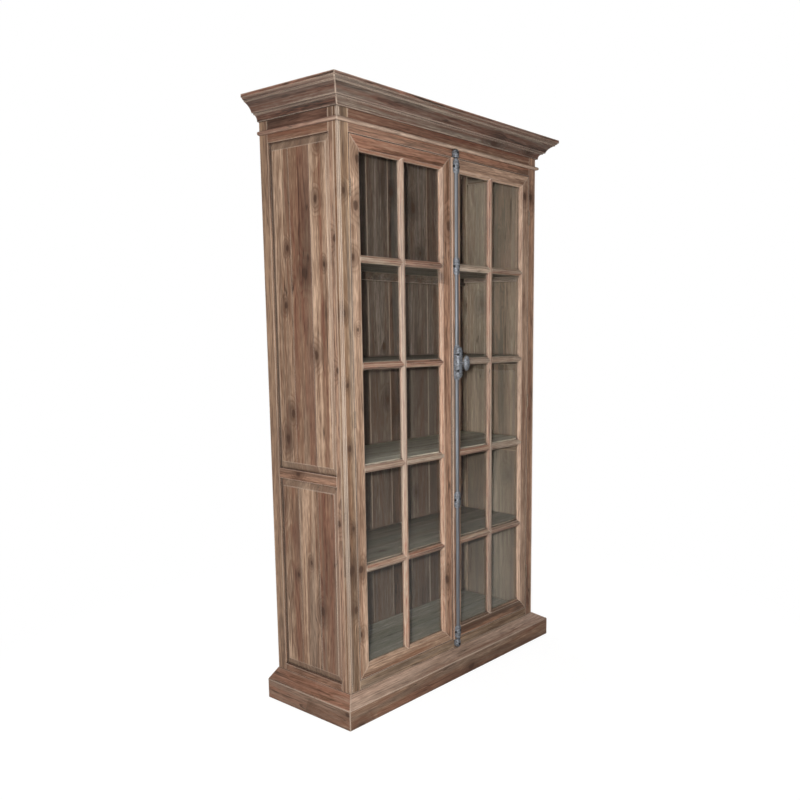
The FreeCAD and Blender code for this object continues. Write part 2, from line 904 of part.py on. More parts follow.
def doors():
    pieces = door_frame() + glazing()
    names = (
        "hinge_stile",
        "meeting_stile",
        "top_rail",
        "bottom_rail",
        "upright_bar",
        "cross_bars",
        "panes",
        "putty",
    )
    for name, piece in zip(names, pieces):
        right = mirrored(f"right_{name}", piece)
        node(f"left_door_{name}", piece)
        node(f"right_door_{name}", right)


def cover_strip():
    """The strip down the meeting edge of the right door, with eased front edges."""
    right = strip_left + d.strip_width
    ease = d.strip_easing
    section = [
        (strip_left, front),
        (strip_left, strip_face + ease),
        (strip_left + ease, strip_face),
        (right - ease, strip_face),
        (right, strip_face + ease),
        (right, front),
    ]
    body = padded_body("strip", "XY_Plane", [section], door_bottom, door_height)
    node("right_door_cover_strip", body)


# Hinges


def hinges():
    """Butt hinges: leaves in the gap beside the door, barrel just in front of the face frame.

    The pin is riveted into the outer knuckles, those of the case leaf.
    """
    axis_x = door_left - d.door_side_gap / 2
    axis_y = front - d.hinge_barrel_radius - d.hinge_barrel_room
    leaf_back = front + d.hinge_leaf_depth
    knuckle = d.hinge_height / HINGE_KNUCKLES
    room = d.hinge_knuckle_room
    sweep = d.hinge_barrel_radius + d.hinge_sweep_room
    over = d.cut_overrun

    def leaf(name, x0, x1, z, own, facing):
        """One leaf; own and facing list its knuckles and those of the other leaf."""
        plate = board(name + "_plate", x0, x1, axis_y, leaf_back, z, z + d.hinge_height)
        depth = (axis_y - over, axis_y + sweep)
        waste = []
        for low, high in facing:
            waste.append(board(name + "_sweep", x0 - over, x1 + over, *depth, low - room, high + room))
        pieces = [less(name + "_notched", plate, waste)]
        for low, high in own:
            spot = (axis_x, axis_y, low, d.hinge_barrel_radius)
            pieces.append(round_bar(name + "_knuckle", *spot, high - low))
        return pieces

    case_leaves = []
    door_leaves = []
    middle = (door_bottom + door_top - d.hinge_height) / 2
    top = door_top - d.hinge_inset - d.hinge_height
    stile_edge = door_left - d.door_side_gap
    thickness = d.hinge_leaf_thickness
    for z in (door_bottom + d.hinge_inset, middle, top):
        end = z + d.hinge_height
        outer = [(z, z + knuckle - room / 2), (end - knuckle + room / 2, end)]
        inner = [(z + knuckle + room / 2, end - knuckle - room / 2)]
        pieces = leaf("case_leaf", stile_edge, stile_edge + thickness, z, outer, inner)
        pieces.append(round_bar("hinge_pin", axis_x, axis_y, z, d.hinge_pin_radius, d.hinge_height))
        case_leaves.append(joined("case_leaf", pieces))
        solid = joined("door_leaf", leaf("door_leaf", door_left - thickness, door_left, z, inner, outer))
        bore = d.hinge_pin_radius + d.hinge_pin_fit
        hole = round_bar("hinge_bore", axis_x, axis_y, z, bore, d.hinge_height)
        door_leaves.append(less("door_leaf_bored", solid, [hole]))

    right_case = [mirrored("right_case_leaf", leaf_piece) for leaf_piece in case_leaves]
    right_door = [mirrored("right_door_leaf", leaf_piece) for leaf_piece in door_leaves]
    node("case_hinge_leaves", group("case_hinge_leaves", case_leaves + right_case))
    node("left_door_hinge_leaves", group("left_door_hinge_leaves", door_leaves))
    node("right_door_hinge_leaves", group("right_door_hinge_leaves", right_door))


# Bolt


def rim_edges(feature, off_face):
    """The names of the edges that lie in one face; off_face tells how far a point is from it."""
    names = []
    for i, edge in enumerate(feature.Shape.Edges, 1):
        if all(off_face(corner.Point) < SAME_PLACE for corner in edge.Vertexes):
            names.append(f"Edge{i}")
    return names


def rod(label, way, tip):
    """Half-round rod; its rack lies beside the pinion. way is 1 for the upper rod, -1 for the lower."""

    def at(across, up):
        return rod_x + across * way, rod_z + up * way

    body = new_body(label)
    radius = d.rod_radius
    head = d.rod_head_distance
    section = [
        (rod_x + radius, rod_back),
        (rod_x - radius, rod_back, ("centre_up", rod_back, "left")),
    ]
    base = rod_z + head if way > 0 else tip
    length = (tip - rod_z) * way - head
    bar = pad(body, outline(body, "XY_Plane", [section], base), length)
    doc.recompute()
    rim = rim_edges(bar, lambda p: abs(p.z - tip.value))
    easing = body.newObject("PartDesign::Chamfer", "TipEasing")
    easing.Base = (bar, rim)
    easing.setExpression("Size", d.rod_tip_easing.text)

    pitch_line = -pitch_radius
    root = pitch_line - d.gear_dedendum
    tooth_tip = pitch_line + d.gear_addendum
    bar_edge = root - d.rack_back
    tooth_thickness = (tooth_pitch - d.gear_backlash) / 2
    pitch_half = tooth_thickness / 2
    root_half = pitch_half + d.gear_dedendum * d.gear_flank_share
    tip_half = pitch_half - d.gear_addendum * d.gear_flank_share
    shape = [at(bar_edge, -d.rack_overlap), at(root, -d.rack_overlap)]
    for place_in_pitches in RACK_TEETH:
        middle = tooth_pitch * place_in_pitches
        shape += [at(root, middle - root_half), at(tooth_tip, middle - tip_half)]
        shape += [at(tooth_tip, middle + tip_half), at(root, middle + root_half)]
    shape += [at(root, head), at(radius, head)]
    shape += [at(radius, head + d.rod_head_length), at(bar_edge, head + d.rod_head_length)]
    pad(body, outline(body, "XZ_Plane", [shape], rod_back), d.rack_depth)
    return node(label, body)


def involute_pinion():
    """The pinion as a solid about the rod axis, with involute flanks that suit the racks."""
    pitch = pitch_radius.value
    tangent = d.gear_flank_share.value
    base = pitch / math.sqrt(1 + tangent**2)
    tip = pitch + d.gear_addendum.value
    root = pitch - d.gear_dedendum.value
    tooth_thickness = (tooth_pitch.value - d.gear_backlash.value) / 2
    half_tooth = tooth_thickness / 2 / pitch
    pressure = math.atan(tangent)
    half_at_base = half_tooth + tangent - pressure
    flank = []
    for i in range(FLANK_STEPS + 1):
        radius = base + (tip - base) * i / FLANK_STEPS
        roll = math.sqrt(max(0.0, (radius / base) ** 2 - 1))
        flank.append((radius, half_at_base - (roll - math.atan(roll))))

    def point(radius, angle):
        return FreeCAD.Vector(radius * math.cos(angle), 0, radius * math.sin(angle))

    corners = []
    for i in range(PINION_TEETH):
        middle = 2 * math.pi * i / PINION_TEETH
        corners.append(point(root, middle - half_at_base))
        corners += [point(radius, middle - angle) for radius, angle in flank]
        corners += [point(radius, middle + angle) for radius, angle in reversed(flank)]
        corners.append(point(root, middle + half_at_base))
    face = Part.Face(Part.makePolygon(corners + corners[:1]))
    thickness = d.rack_depth.value
    piece = doc.addObject("Part::Feature", "pinion")
    piece.Shape = face.extrude(FreeCAD.Vector(0, -thickness, 0))
    spot = FreeCAD.Vector(rod_x.value, rod_back.value, rod_z.value)
    piece.Placement = FreeCAD.Placement(spot, FreeCAD.Rotation())
    return piece


def knob():
    """Oval knob on a necked spindle, with the pinion on the spindle's inner end."""
    case_face = strip_face - d.case_depth
    collar_back = case_face - d.knob_collar_room
    collar_front = collar_back - d.knob_collar_length
    oval_centre = front - d.knob_reach
    oval_back = oval_centre + d.knob_thickness / 2 - d.knob_neck_sunk
    body = new_body("knob_stem")
    profile = [
        (NONE, rod_back - d.rack_depth / 2),
        (d.spindle_radius, rod_back - d.rack_depth / 2),
        (d.spindle_radius, collar_back),
        (d.knob_collar_radius, collar_back),
        (d.knob_collar_radius, collar_front),
        (d.knob_neck_radius, collar_front),
        (d.knob_neck_radius, oval_back),
        (NONE, oval_back),
    ]
    turned = body.newObject("PartDesign::Revolution", "Turned")
    turned.Profile = outline(body, "XY_Plane", [profile])
    turned.ReferenceAxis = (own_plane(body, "Y_Axis"), [""])
    place(body, rod_x, NONE, rod_z)
    oval = new_body("knob_oval")
    half_long = d.knob_length / 2
    half_wide = d.knob_width / 2
    end_radius = d.knob_end_radius
    end_rise = half_long - end_radius
    spread = end_rise * end_rise + half_wide * half_wide - end_radius * end_radius
    side_radius = spread / (half_wide - end_radius) / 2
    side_set = side_radius - half_wide
    meet_across = side_set * side_radius / (side_radius - end_radius) - side_set
    meet_up = end_rise * side_radius / (side_radius - end_radius)
    end_bend = ("radius", end_radius, "left")
    side_bend = ("radius", side_radius, "left")
    ring = [
        (rod_x - meet_across, rod_z - meet_up, end_bend),
        (rod_x + meet_across, rod_z - meet_up, side_bend),
        (rod_x + meet_across, rod_z + meet_up, end_bend),
        (rod_x - meet_across, rod_z + meet_up, side_bend),
    ]
    thickness = d.knob_thickness
    oval_start = oval_centre + thickness / 2
    lump = pad(oval, outline(oval, "XZ_Plane", [ring], oval_start), thickness)
    doc.recompute()
    faces_y = (oval_start.value, (oval_start - thickness).value)
    rims = [name for y in faces_y for name in rim_edges(lump, lambda p: abs(p.y - y))]
    easing = oval.newObject("PartDesign::Chamfer", "RimEasing")
    easing.Base = (lump, rims)
    easing.setExpression("Size", d.knob_easing.text)
    pieces = [involute_pinion(), body, oval]
    piece = joined("knob", pieces)
    node("bolt_knob", piece)


def plate_outline(width, straight, height, middle):
    """A plate that narrows at each end to the width of the arch over the rod."""
    x0 = rod_x - width / 2
    x1 = rod_x + width / 2
    end_left = rod_x - d.arch_radius
    end_right = rod_x + d.arch_radius
    low = middle - straight / 2
    high = middle + straight / 2
    bottom = middle - height / 2
    top = middle + height / 2
    left = [(end_left, top), (x0, high), (x0, low), (end_left, bottom)]
    return left + [(end_right, bottom), (x1, low), (x1, high), (end_right, top)]


def bolt_case():
    """Cast case: plate, rounded hump, the hollow for pinion and racks, channels and spindle hole."""
    body = new_body("bolt_case_blank")
    plate = plate_outline(d.case_plate_width, d.case_plate_straight, d.case_height, rod_z)
    pad(body, outline(body, "XZ_Plane", [plate], strip_face), d.case_plate_thickness)
    hump_half = d.case_hump_width / 2
    round_start = d.case_hump_height / 2 - hump_half
    low = rod_z - round_start
    high = rod_z + round_start
    hump = [
        (rod_x - hump_half, low, ("centre_up", low, "left")),
        (rod_x + hump_half, low),
        (rod_x + hump_half, high, ("centre_up", high, "left")),
        (rod_x - hump_half, high),
    ]
    raised = pad(body, outline(body, "XZ_Plane", [hump], strip_face), d.case_depth)
    doc.recompute()
    face_y = (strip_face - d.case_depth).value
    rim = rim_edges(raised, lambda p: abs(p.y - face_y))
    easing = body.newObject("PartDesign::Chamfer", "HumpEasing")
    easing.Base = (raised, rim)
    easing.setExpression("Size", d.case_hump_easing.text)

    ends = arch_blank("case_ends", rod_z - d.case_height / 2, d.case_height)
    solid = joined("bolt_case_solid", [body, ends])
    cavity_half = d.case_cavity_width / 2
    cavity_up = d.case_cavity_height / 2
    cavity = board(
        "case_cavity",
        rod_x - cavity_half,
        rod_x + cavity_half,
        strip_face - d.case_cavity_depth,
        strip_face,
        rod_z - cavity_up,
        rod_z + cavity_up,
    )
    over = d.cut_overrun
    channel_start = rod_z - d.case_height / 2 - over
    channel_length = d.case_height + over * 2
    slot = channel("case_channel", channel_start, channel_length)
    hole = round_bar(
        "case_spindle_hole",
        rod_x,
        strip_face,
        rod_z,
        d.spindle_radius + d.spindle_fit,
        d.case_depth + over,
        towards_front=True,
    )
    holes = []
    for side in (-1, 1):
        for end in (-1, 1):
            x = rod_x + d.case_screw_reach * side
            z = rod_z + d.case_screw_offset * end
            holes.append(screw_hole(x, z, strip_face))
    node("bolt_case", less("bolt_case", solid, [cavity, slot, hole] + holes))


def screw_hole(x, z, seat):
    """A hole for a screw, through whatever stands on the seat in front of it."""
    over = d.cut_overrun
    spot = (x, seat + over, z, d.screw_hole_radius)
    return round_bar("screw_hole", *spot, d.case_depth + over * 2, towards_front=True)


def arch_blank(name, z, length):
    """The half-round bridge over a rod, before its channel is cut."""
    radius = d.arch_radius
    section = [
        (rod_x + radius, strip_face),
        (rod_x - radius, strip_face, ("centre_up", strip_face, "left")),
    ]
    return padded_body(name, "XY_Plane", [section], z, length)


def channel(name, z, length):
    """The waste of the channel that a rod slides in."""
    return round_bar(name, rod_x, rod_back, z, d.rod_radius + d.rod_fit, length)


def rod_guides():
    """Guides on the strip: one at each end and one between each end and the case."""
    end_half = d.end_guide_length / 2
    upper_end = door_top - d.end_guide_inset - end_half
    lower_end = door_bottom + d.end_guide_inset + end_half
    upper_middle = rod_z + (door_top - rod_z) * d.upper_guide_share
    lower_middle = rod_z - (rod_z - door_bottom) * d.lower_guide_share
    over = d.cut_overrun
    guides = []
    places = (
        (upper_end, d.end_guide_length),
        (upper_middle, d.guide_height),
        (lower_middle, d.guide_height),
        (lower_end, d.end_guide_length),
    )
    for middle, height in places:
        start = middle - height / 2
        straight = height - d.guide_ear_taper * 2
        plate = plate_outline(d.guide_ear_width, straight, height, middle)
        ears = padded_body("guide_ears", "XZ_Plane", [plate], strip_face, d.guide_ear_thickness)
        solid = joined("guide_blank", [ears, arch_blank("guide_arch", start, height)])
        slot = channel("guide_channel", start - over, height + over * 2)
        guides.append(less("rod_guide", solid, [slot]))
    node("rod_guides", group("rod_guides", guides))


def keepers():
    """Keepers on the face frame that the rods shoot into, each ending in a screwed rosette."""
    pieces = []
    places = (
        (door_top + d.keeper_room, d.upper_keeper_length, 1),
        (door_bottom - d.keeper_room, d.lower_keeper_length, -1),
    )
    over = d.cut_overrun
    radius = d.arch_radius
    for mouth, length, way in places:
        rosette_z = mouth + (length - d.keeper_rosette_radius) * way
        low = mouth if way > 0 else rosette_z
        body_length = length - d.keeper_rosette_radius
        depth = (strip_face, front)
        base = board("base", rod_x - radius, rod_x + radius, *depth, low, low + body_length)
        socket_low = mouth - over if way > 0 else mouth - d.keeper_socket
        socket = channel("keeper_socket", socket_low, d.keeper_socket + over)
        disc = d.keeper_rosette_radius
        spot = (rod_x, front, rosette_z, disc)
        rosette = round_bar("rosette", *spot, d.keeper_rosette_depth, towards_front=True)
        foot = round_bar("rosette_foot", *spot, d.strip_thickness, towards_front=True)
        raised = joined("keeper_raised", [arch_blank("keeper_arch", low, body_length), rosette])
        bridge = less("keeper_bridge", raised, [socket])
        solid = joined("keeper_blank", [base, foot, bridge])
        pieces.append(less("keeper", solid, [screw_hole(rod_x, rosette_z, front)]))
    node("keepers", group("keepers", pieces))


plinth()
neck_moulding()
cornice()
face_frame()
side_frames()
inside()
doors()
cover_strip()
hinges()
rod("upper_rod", 1, door_top - d.rod_tip_room)
rod("lower_rod", -1, door_bottom + d.rod_tip_room)
knob()
bolt_case()
rod_guides()
keepers()

doc.recompute()

for item in doc.Objects:
    if any(word in item.State for word in ("Invalid", "Error")):
        raise RuntimeError(f"{item.Name} ({item.Label}) failed: {item.State}")
labels = [piece.Label for piece in nodes]
if len(set(labels)) != len(labels):
    raise RuntimeError("two pieces share a name")
for piece in nodes:
    if piece.Shape.isNull() or not piece.Shape.isValid() or not piece.Shape.Solids:
        raise RuntimeError(f"{piece.Label} has no sound shape")
    piece.Shape.exportStep(f"parts/{piece.Label}.step")
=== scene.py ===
import math

import bpy
from bpy.props import FloatProperty, FloatVectorProperty, PointerProperty
from mathutils import Euler, Matrix, Vector


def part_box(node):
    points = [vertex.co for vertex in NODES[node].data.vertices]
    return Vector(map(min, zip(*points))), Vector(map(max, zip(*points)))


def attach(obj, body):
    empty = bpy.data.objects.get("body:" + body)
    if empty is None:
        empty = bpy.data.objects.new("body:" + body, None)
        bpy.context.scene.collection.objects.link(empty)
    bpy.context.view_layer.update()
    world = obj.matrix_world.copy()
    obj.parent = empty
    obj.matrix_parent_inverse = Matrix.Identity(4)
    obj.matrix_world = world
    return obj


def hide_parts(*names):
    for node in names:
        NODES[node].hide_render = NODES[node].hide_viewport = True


bl_info = {
    "name": "Reclaimed pine bookcase",
    "version": (1, 0, 0),
    "blender": (4, 5, 0),
    "location": "View3D > Sidebar > Bookcase",
    "description": "Finishes, iron bolt and studio for a glazed two-door bookcase",
    "category": "Object",
}

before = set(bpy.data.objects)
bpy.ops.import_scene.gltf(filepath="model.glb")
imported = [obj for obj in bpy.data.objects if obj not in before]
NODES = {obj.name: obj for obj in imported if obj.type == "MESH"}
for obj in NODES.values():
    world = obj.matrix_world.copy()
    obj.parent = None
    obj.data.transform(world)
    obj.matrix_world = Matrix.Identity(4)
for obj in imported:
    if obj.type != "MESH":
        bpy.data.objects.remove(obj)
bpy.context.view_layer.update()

MATH = "ShaderNodeMath"
VECTOR_MATH = "ShaderNodeVectorMath"
SEPARATE_COLOR = "ShaderNodeSeparateColor"
PRINCIPLED = "ShaderNodeBsdfPrincipled"
BACKGROUND = "ShaderNodeBackground"
MIX_SHADER = "ShaderNodeMixShader"
LIGHT_PATH = "ShaderNodeLightPath"
MATERIAL_OUTPUT = "ShaderNodeOutputMaterial"


def linear(code, alpha=None):
    """An sRGB hex colour as linear values, with alpha added where it is given."""
    values = [int(code[i : i + 2], 16) / 255 for i in (1, 3, 5)]
    out = [v / 12.92 if v <= 0.04045 else ((v + 0.055) / 1.055) ** 2.4 for v in values]
    return tuple(out) if alpha is None else (*out, alpha)


def length_property(name, description, metres):
    return FloatProperty(name=name, description=description, default=metres, unit="LENGTH")


def colour_property(name, description, code):
    return FloatVectorProperty(
        name=name,
        description=description,
        default=linear(code, 1.0),
        size=4,
        min=0.0,
        max=1.0,
        subtype="COLOR",
    )


class BookcaseSizes(bpy.types.PropertyGroup):
    """Sizes of the ironwork and of the studio."""

    screw_head: length_property("Screw head", "Radius of the slotted screw heads", 0.0034)
    iron_edge: length_property("Iron edge", "Rounding of the edges of the iron castings", 0.0007)
    floor_size: length_property("Floor", "Width of the studio floor", 40.0)


class BookcaseColours(bpy.types.PropertyGroup):
    """Colours of the wood, the iron and the glass."""

    # Painted highlight as well as wax: this colour paints the wood's outward edges pale
    edge_wax_and_highlight: colour_property("Edge wax", "Dry wax and dust left on the edges", "#C9B4A2")
    # Painted shade as well as dirt: this colour fills the wood's corners and joints by ambient
    # occlusion, and its cracks as dirt
    grime_and_painted_shade: colour_property("Grime", "Dark dirt in the quirks and joints", "#2A1E17")
    knot: colour_property("Knot", "Heart of the knots", "#463024")
    iron: colour_property("Iron", "Bare iron of the bolt", "#6B6D71")
    iron_pit: colour_property("Iron pits", "Oxide in the pits of the iron", "#2A2B2E")
    # Painted shade: the dark of the screw holes, painted round each screw on the iron
    painted_hole_shade: colour_property("Grease", "Old grease round the screws of the bolt", "#151518")
    iron_worn: colour_property("Worn iron", "Iron rubbed bright on its high places", "#A8AEB7")
    glass: colour_property("Glass", "Tint of the panes", "#F2F1ED")
    putty: colour_property("Putty", "Old glazing putty", "#6E5D4E")
    hinge: colour_property("Hinges", "Dull steel of the hinges", "#8E7C6B")


# Woods by finish: dark streaks, red heart wood, common colour, pale sap wood, grey weathering
PINES = {
    "cornice": ("#362A23", "#725042", "#77665A", "#B5A693", "#6E6A63"),
    "frieze": ("#3C281E", "#74493A", "#7E5E4C", "#B38F78", "#70604F"),
    "side_frieze": ("#291914", "#523124", "#5C3E31", "#785849", "#504036"),
    "frame": ("#765A49", "#A8866F", "#B2947D", "#D8BDA5", "#9E8D7C"),
    "face": ("#493427", "#7E5D45", "#886D56", "#B0967C", "#796C60"),
    "right_face": ("#4F3025", "#8D5E4A", "#8F6E5A", "#C1977B", "#826F5B"),
    "back_stile": ("#3F2E24", "#785544", "#7D6250", "#A5866E", "#70614F"),
    "panel": ("#4E3428", "#865B48", "#8F7059", "#C5A68D", "#85705F"),
    "top_rail": ("#654635", "#9B6F59", "#9B7A65", "#C6A58D", "#917D6C"),
    "side_rail": ("#4E3224", "#875B47", "#84624E", "#AF8870", "#7E6A5B"),
    "neck": ("#5A4034", "#9A7260", "#A88C79", "#CDB29C", "#93857A"),
    "door": ("#583D2C", "#92684F", "#9B7C65", "#CCAD94", "#897A6C"),
    "meeting": ("#6B4E3B", "#A57E66", "#AE917B", "#D9BCA4", "#9B8C7E"),
    "bar": ("#614638", "#966B56", "#9E8672", "#C8B6A3", "#8E8275"),
    "plinth": ("#4D362A", "#815A46", "#876B56", "#B59680", "#7A6C5E"),
    "plinth_cap": ("#634734", "#956A55", "#947765", "#C2A490", "#8C7C6C"),
    "inside": ("#332824", "#604A3F", "#63564E", "#877A73", "#5D5955"),
    "wall": ("#2A2119", "#6A4D3D", "#806E5E", "#B0A294", "#756F66"),
    "shelf": ("#534F47", "#756A60", "#7C776E", "#979289", "#73766E"),
    "floor": ("#5D5B54", "#827F74", "#8A877E", "#A9A69D", "#858680"),
    "pale_shelf": ("#72706A", "#A09B90", "#AAA69C", "#CECAC0", "#A4A49C"),
}

# Knots seen in the wood: place across the board and along it, and radius, in metres
KNOTS = {
    "left_panels": (
        (-0.048, 1.919, 0.009),
        (0.115, 1.759, 0.007),
        (0.020, 1.666, 0.015),
        (-0.085, 1.694, 0.006),
        (-0.068, 2.116, 0.009),
        (0.132, 1.551, 0.008),
        (-0.032, 1.371, 0.011),
        (0.110, 1.148, 0.011),
        (-0.026, 0.402, 0.012),
        (0.031, 0.582, 0.006),
        (0.110, 0.521, 0.006),
    ),
    "left_front_stile": (
        (-0.148, 1.779, 0.009),
        (-0.147, 1.319, 0.008),
        (-0.162, 1.096, 0.006),
        (-0.135, 0.758, 0.009),
    ),
    "left_rails": ((0.920, 0.090, 0.008),),
    "face_left_stile": (
        (-0.559, 1.940, 0.007),
        (-0.569, 1.521, 0.008),
        (-0.560, 1.267, 0.006),
        (-0.557, 1.039, 0.008),
        (-0.548, 0.741, 0.006),
        (-0.542, 0.429, 0.010),
    ),
    "left_door_hinge_stile": (
        (-0.504, 1.897, 0.011),
        (-0.522, 1.716, 0.009),
        (-0.505, 1.464, 0.005),
        (-0.515, 0.578, 0.010),
        (-0.523, 0.326, 0.008),
    ),
    "right_door_hinge_stile": ((0.501, 2.046, 0.011), (0.543, 1.530, 0.009)),
    "right_panels": (
        (-0.002, 1.883, 0.012),
        (0.120, 1.587, 0.013),
        (-0.045, 0.777, 0.012),
        (0.176, 0.639, 0.009),
    ),
}

# Each piece draws its own boards by the length of its name, its row and its first letter
SEED_BY_LENGTH, SEED_BY_ROW, SEED_BY_LETTER = 3.1, 1.37, 0.11
SEED_BY_AXIS = (1.0, 1.7, 0.3)
# Shifts in the choice of boards, where a piece of the bookcase is darker or paler than most
SEEDS = {"left_panels": 4.2, "right_door_hinge_stile": 8.1, "left_front_stile": 2.3}

# A board this wide is the whole piece
WHOLE = 10.0
ONE_BOARD = (WHOLE, WHOLE, WHOLE)
# A first board that starts here starts before any piece
FAR = -5.0
CORNER = (FAR, FAR, FAR)
# Further than anything is from a knot or a screw
AWAY = 50.0

# How far the grain of one board is moved from the next, for its figure to be its own
BOARD_SPREAD = (7.0, 5.0, 9.0)
# Figure of the wood: cycles per metre across, through and along the grain, detail, roughness
FIGURE = {
    "swell": ((5.0, 5.0, 0.33), 2.0, 0.45),
    "stain": ((9.0, 9.0, 1.6), 3.0, 0.6),
    "band": ((21.0, 21.0, 0.7), 2.0, 0.5),
    "weather": ((30.0, 30.0, 0.9), 2.0, 0.5),
    "ridge": ((38.0, 38.0, 1.7), 1.0, 0.5),
    "streak": ((64.0, 64.0, 1.6), 3.0, 0.6),
    "fibre": ((190.0, 190.0, 5.0), 4.0, 0.7),
    "thread": ((260.0, 260.0, 22.0), 2.0, 0.6),
}
# Knots: patches to the metre, each of which may hold one, and the metres that a patch counts
# for in the shape of its knot, fewer than it has along the grain, so that knots are long
KNOT_PATCHES = (5.9, 0.0, 2.6)
KNOT_METRES = (0.17, 0.0, 0.24)
KNOT_RADII = (0.007, 0.014)
KNOT_LENGTHENED = 0.65
KNOT_RAGGED = (55.0, 3.0, 0.6)
KNOT_RAGGEDNESS = 1.3
# Growth rings in the swell of a board, and how many more flow round a knot
SWELL_RINGS, KNOT_RINGS = 30.0, 2.5
# What counts in the hue of the wood, which runs from dark streaks to sap wood
BOARD_HUE = (0.65, -0.1)
BAND_HUE, STREAK_HUE, RING_HUE, FIBRE_HUE, THREAD_HUE = 1.2, 0.9, -0.18, 0.6, 0.6
RED_STOP, COMMON_STOP = 0.3, 0.58
# Where a mark of the wood begins and is full, and what it gives there if not 0 and 1
HEART = (1.95, 1.25)
HALO = (5.0, 0.8)
LATE_WOOD = (0.3, 0.92)
RING_END = (1.0, 0.93)
HUES = (1.32, 2.32)
WEATHERED = (0.48, 0.64)
BOARD_WEATHER = (0.0, 1.0, 0.25, 0.75)
DUSK = (0.52, 0.7, 0.0, 0.45)
BOARD_LIGHT = (0.0, 1.0, 0.9, 1.1)
FIBRE_LIGHT = (0.64, 1.36, 0.62, 1.34)
CRACK_WIDTH = (0.014, 0.0)
CRACKED = (0.5, 0.58)
WAX_AND_HIGHLIGHT_PATCHES = (0.32, 0.58, 0.45, 1.0)
WOOD_ROUGHNESS = (0.2, 0.8, 0.52, 0.8)
# The most that such a mark covers of the colour under it
HALO_SHARE, HEART_SHARE, FIELD_SHARE, CRACK_SHARE = 0.55, 0.8, 0.55, 0.75
# Relief: its strength and its depth in metres, and how rings and cracks count in the wood's
WOOD_RELIEF = (0.5, 0.0009)
RING_RELIEF, CRACK_RELIEF = -0.3, -1.5
IRON_RELIEF = (0.7, 0.0008)
GLASS_RELIEF = (0.08, 0.004)
# Edges: radius in metres of the wax and painted highlight on wood, and of the wear on iron, and
# the cosine of the normal's turn where that is full; it begins at the cosine below
WOOD_WAX_AND_HIGHLIGHT_EDGE = (0.0055, 0.93)
IRON_EDGE = (0.0016, 0.9)
BARELY_TURNED = 0.995
# Corners: depth in metres of painted shade on wood and oxide on iron, the light where it starts,
# and the most of it
WOOD_PAINTED_SHADE = (0.014, 0.76, 0.9)
IRON_GRIME = (0.008, 0.6, 0.85)
CORNER_LIGHT = 0.3

# Iron: its clouds and pits as cycles per metre, detail and roughness, and where they show
IRON_CLOUD = (165.0, 4.0, 0.6)
IRON_PITS = (330.0, 3.0, 0.7)
PITTED = (0.5, 0.66)
RUBBED = (0.46, 0.6, 0.0, 0.85)
BRIGHT_SHARE = 0.8
IRON_ROUGHNESS = (0.0, 1.0, 0.62, 0.36)
# Painted shade of the screw holes, by its distance from a screw in metres
HOLE_SHADE = (0.0066, 0.0044, 0.0, 0.95)
# The rods are drawn out along their length and less pitted than castings
ROD_GRAIN, ROD_WEAR = (1.0, 1.0, 0.05), 0.35
# Waves of the glass in cycles per metre, and specks of the dull finishes
GLASS_WAVES = (6.0, 6.0, 1.5)
SPECKED = (0.5, 0.7)

# Where a piece changes in tone, and where it is painted paler for light on it: an axis, the place
# on it in metres, and the share by which the wood is paler beyond. A block is the top of a stile,
# beside the frieze
BLOCK = ("Z", 2.168, -0.36)
# Painted light: the face of the cornice's top fillet is painted paler, as if catching the light
FILLET_PAINTED_LIGHT = ("Z", 2.288, 0.9)
# Painted highlight: a pale strip along the inner edge of the left face stile
CORNER_BEAD_HIGHLIGHT = ("X", -0.5395, 0.4)
# Painted light: the last back board, beside the right wall, is paler for light thrown back by the
# wall
LAST_BACK_BOARD_BOUNCE_LIGHT = ("X", 0.4325, 0.9)
UPPER_PANEL = ("Z", 0.9, 0.55)
# How far the raised field of a side panel stands from the middle of the bookcase
PANEL_FIELD = 0.5765

# Boards and where the first of them starts, in metres
TOP_BOARDS = {"boards": (WHOLE, 0.142, WHOLE)}
FLOOR_BOARDS = {"boards": (WHOLE, 0.13, WHOLE)}
SHELF_BOARDS = {"boards": (WHOLE, 0.125, WHOLE)}
PANEL_BOARDS = {"boards": (WHOLE, 0.115, 3.0), "first": (FAR, -0.1335, 0.912)}
RAIL_BOARDS = {"boards": (WHOLE, WHOLE, 1.0), "first": (FAR, FAR, 0.5)}
BACK_BOARDS = {"boards": (0.12356, WHOLE, WHOLE), "first": (-0.556, FAR, FAR)}
GLAZING_BARS = {"boards": (0.265, WHOLE, 0.39), "first": (-0.53, FAR, 0.38)}
SHELF_COUNT = 4
PALE_SHELF = 2

# Rings of the bolt: radius and half thickness in metres, and how deep two of them are sunk
COLLAR = (0.0105, 0.0014)
SCREW_RIM = (0.0037, 0.0006)
KNOB_ROOT = (0.0052, 0.0016)
RING_SUNK = 0.0004
# Bosses of its case in metres: place above and below the knob, then width, height and depth
CROWN_BOSSES = ((0.0215, (0.013, 0.015, 0.0028)), (0.0365, (0.009, 0.010, 0.0022)))
# Lugs at the sides of its hump, from the knob, and their size the same way
LUG_REACH, LUG_RISE = 0.0152, 0.0465
LUG_SIZE = (0.007, 0.013, 0.0024)
# Screws: of the case from the knob, of the guides' ears from the rod, and of the end guides and
# the keepers from their outer ends; then the heights of the middle guides
CASE_SCREW_REACH, CASE_SCREW_RISE = 0.0146, 0.033
EAR_SCREW_REACH = 0.0150
END_GUIDE_SCREW = 0.026
KEEPER_SCREW = 0.013
MIDDLE_GUIDES = (1.71646, 0.75775)
# How far a seat stands in front of the back of its casting
HUMP_SEAT = 0.0206
EAR_SEAT = 0.0034
LUG_SEAT = 0.0032
# The oval of the knob: half its width and height, its depth, and how far behind it the stem ends
OVAL_HALF_WIDTH, OVAL_HALF_HEIGHT = 0.015, 0.031
OVAL_DEPTH = 0.0236
STEM_CUT = 0.0006
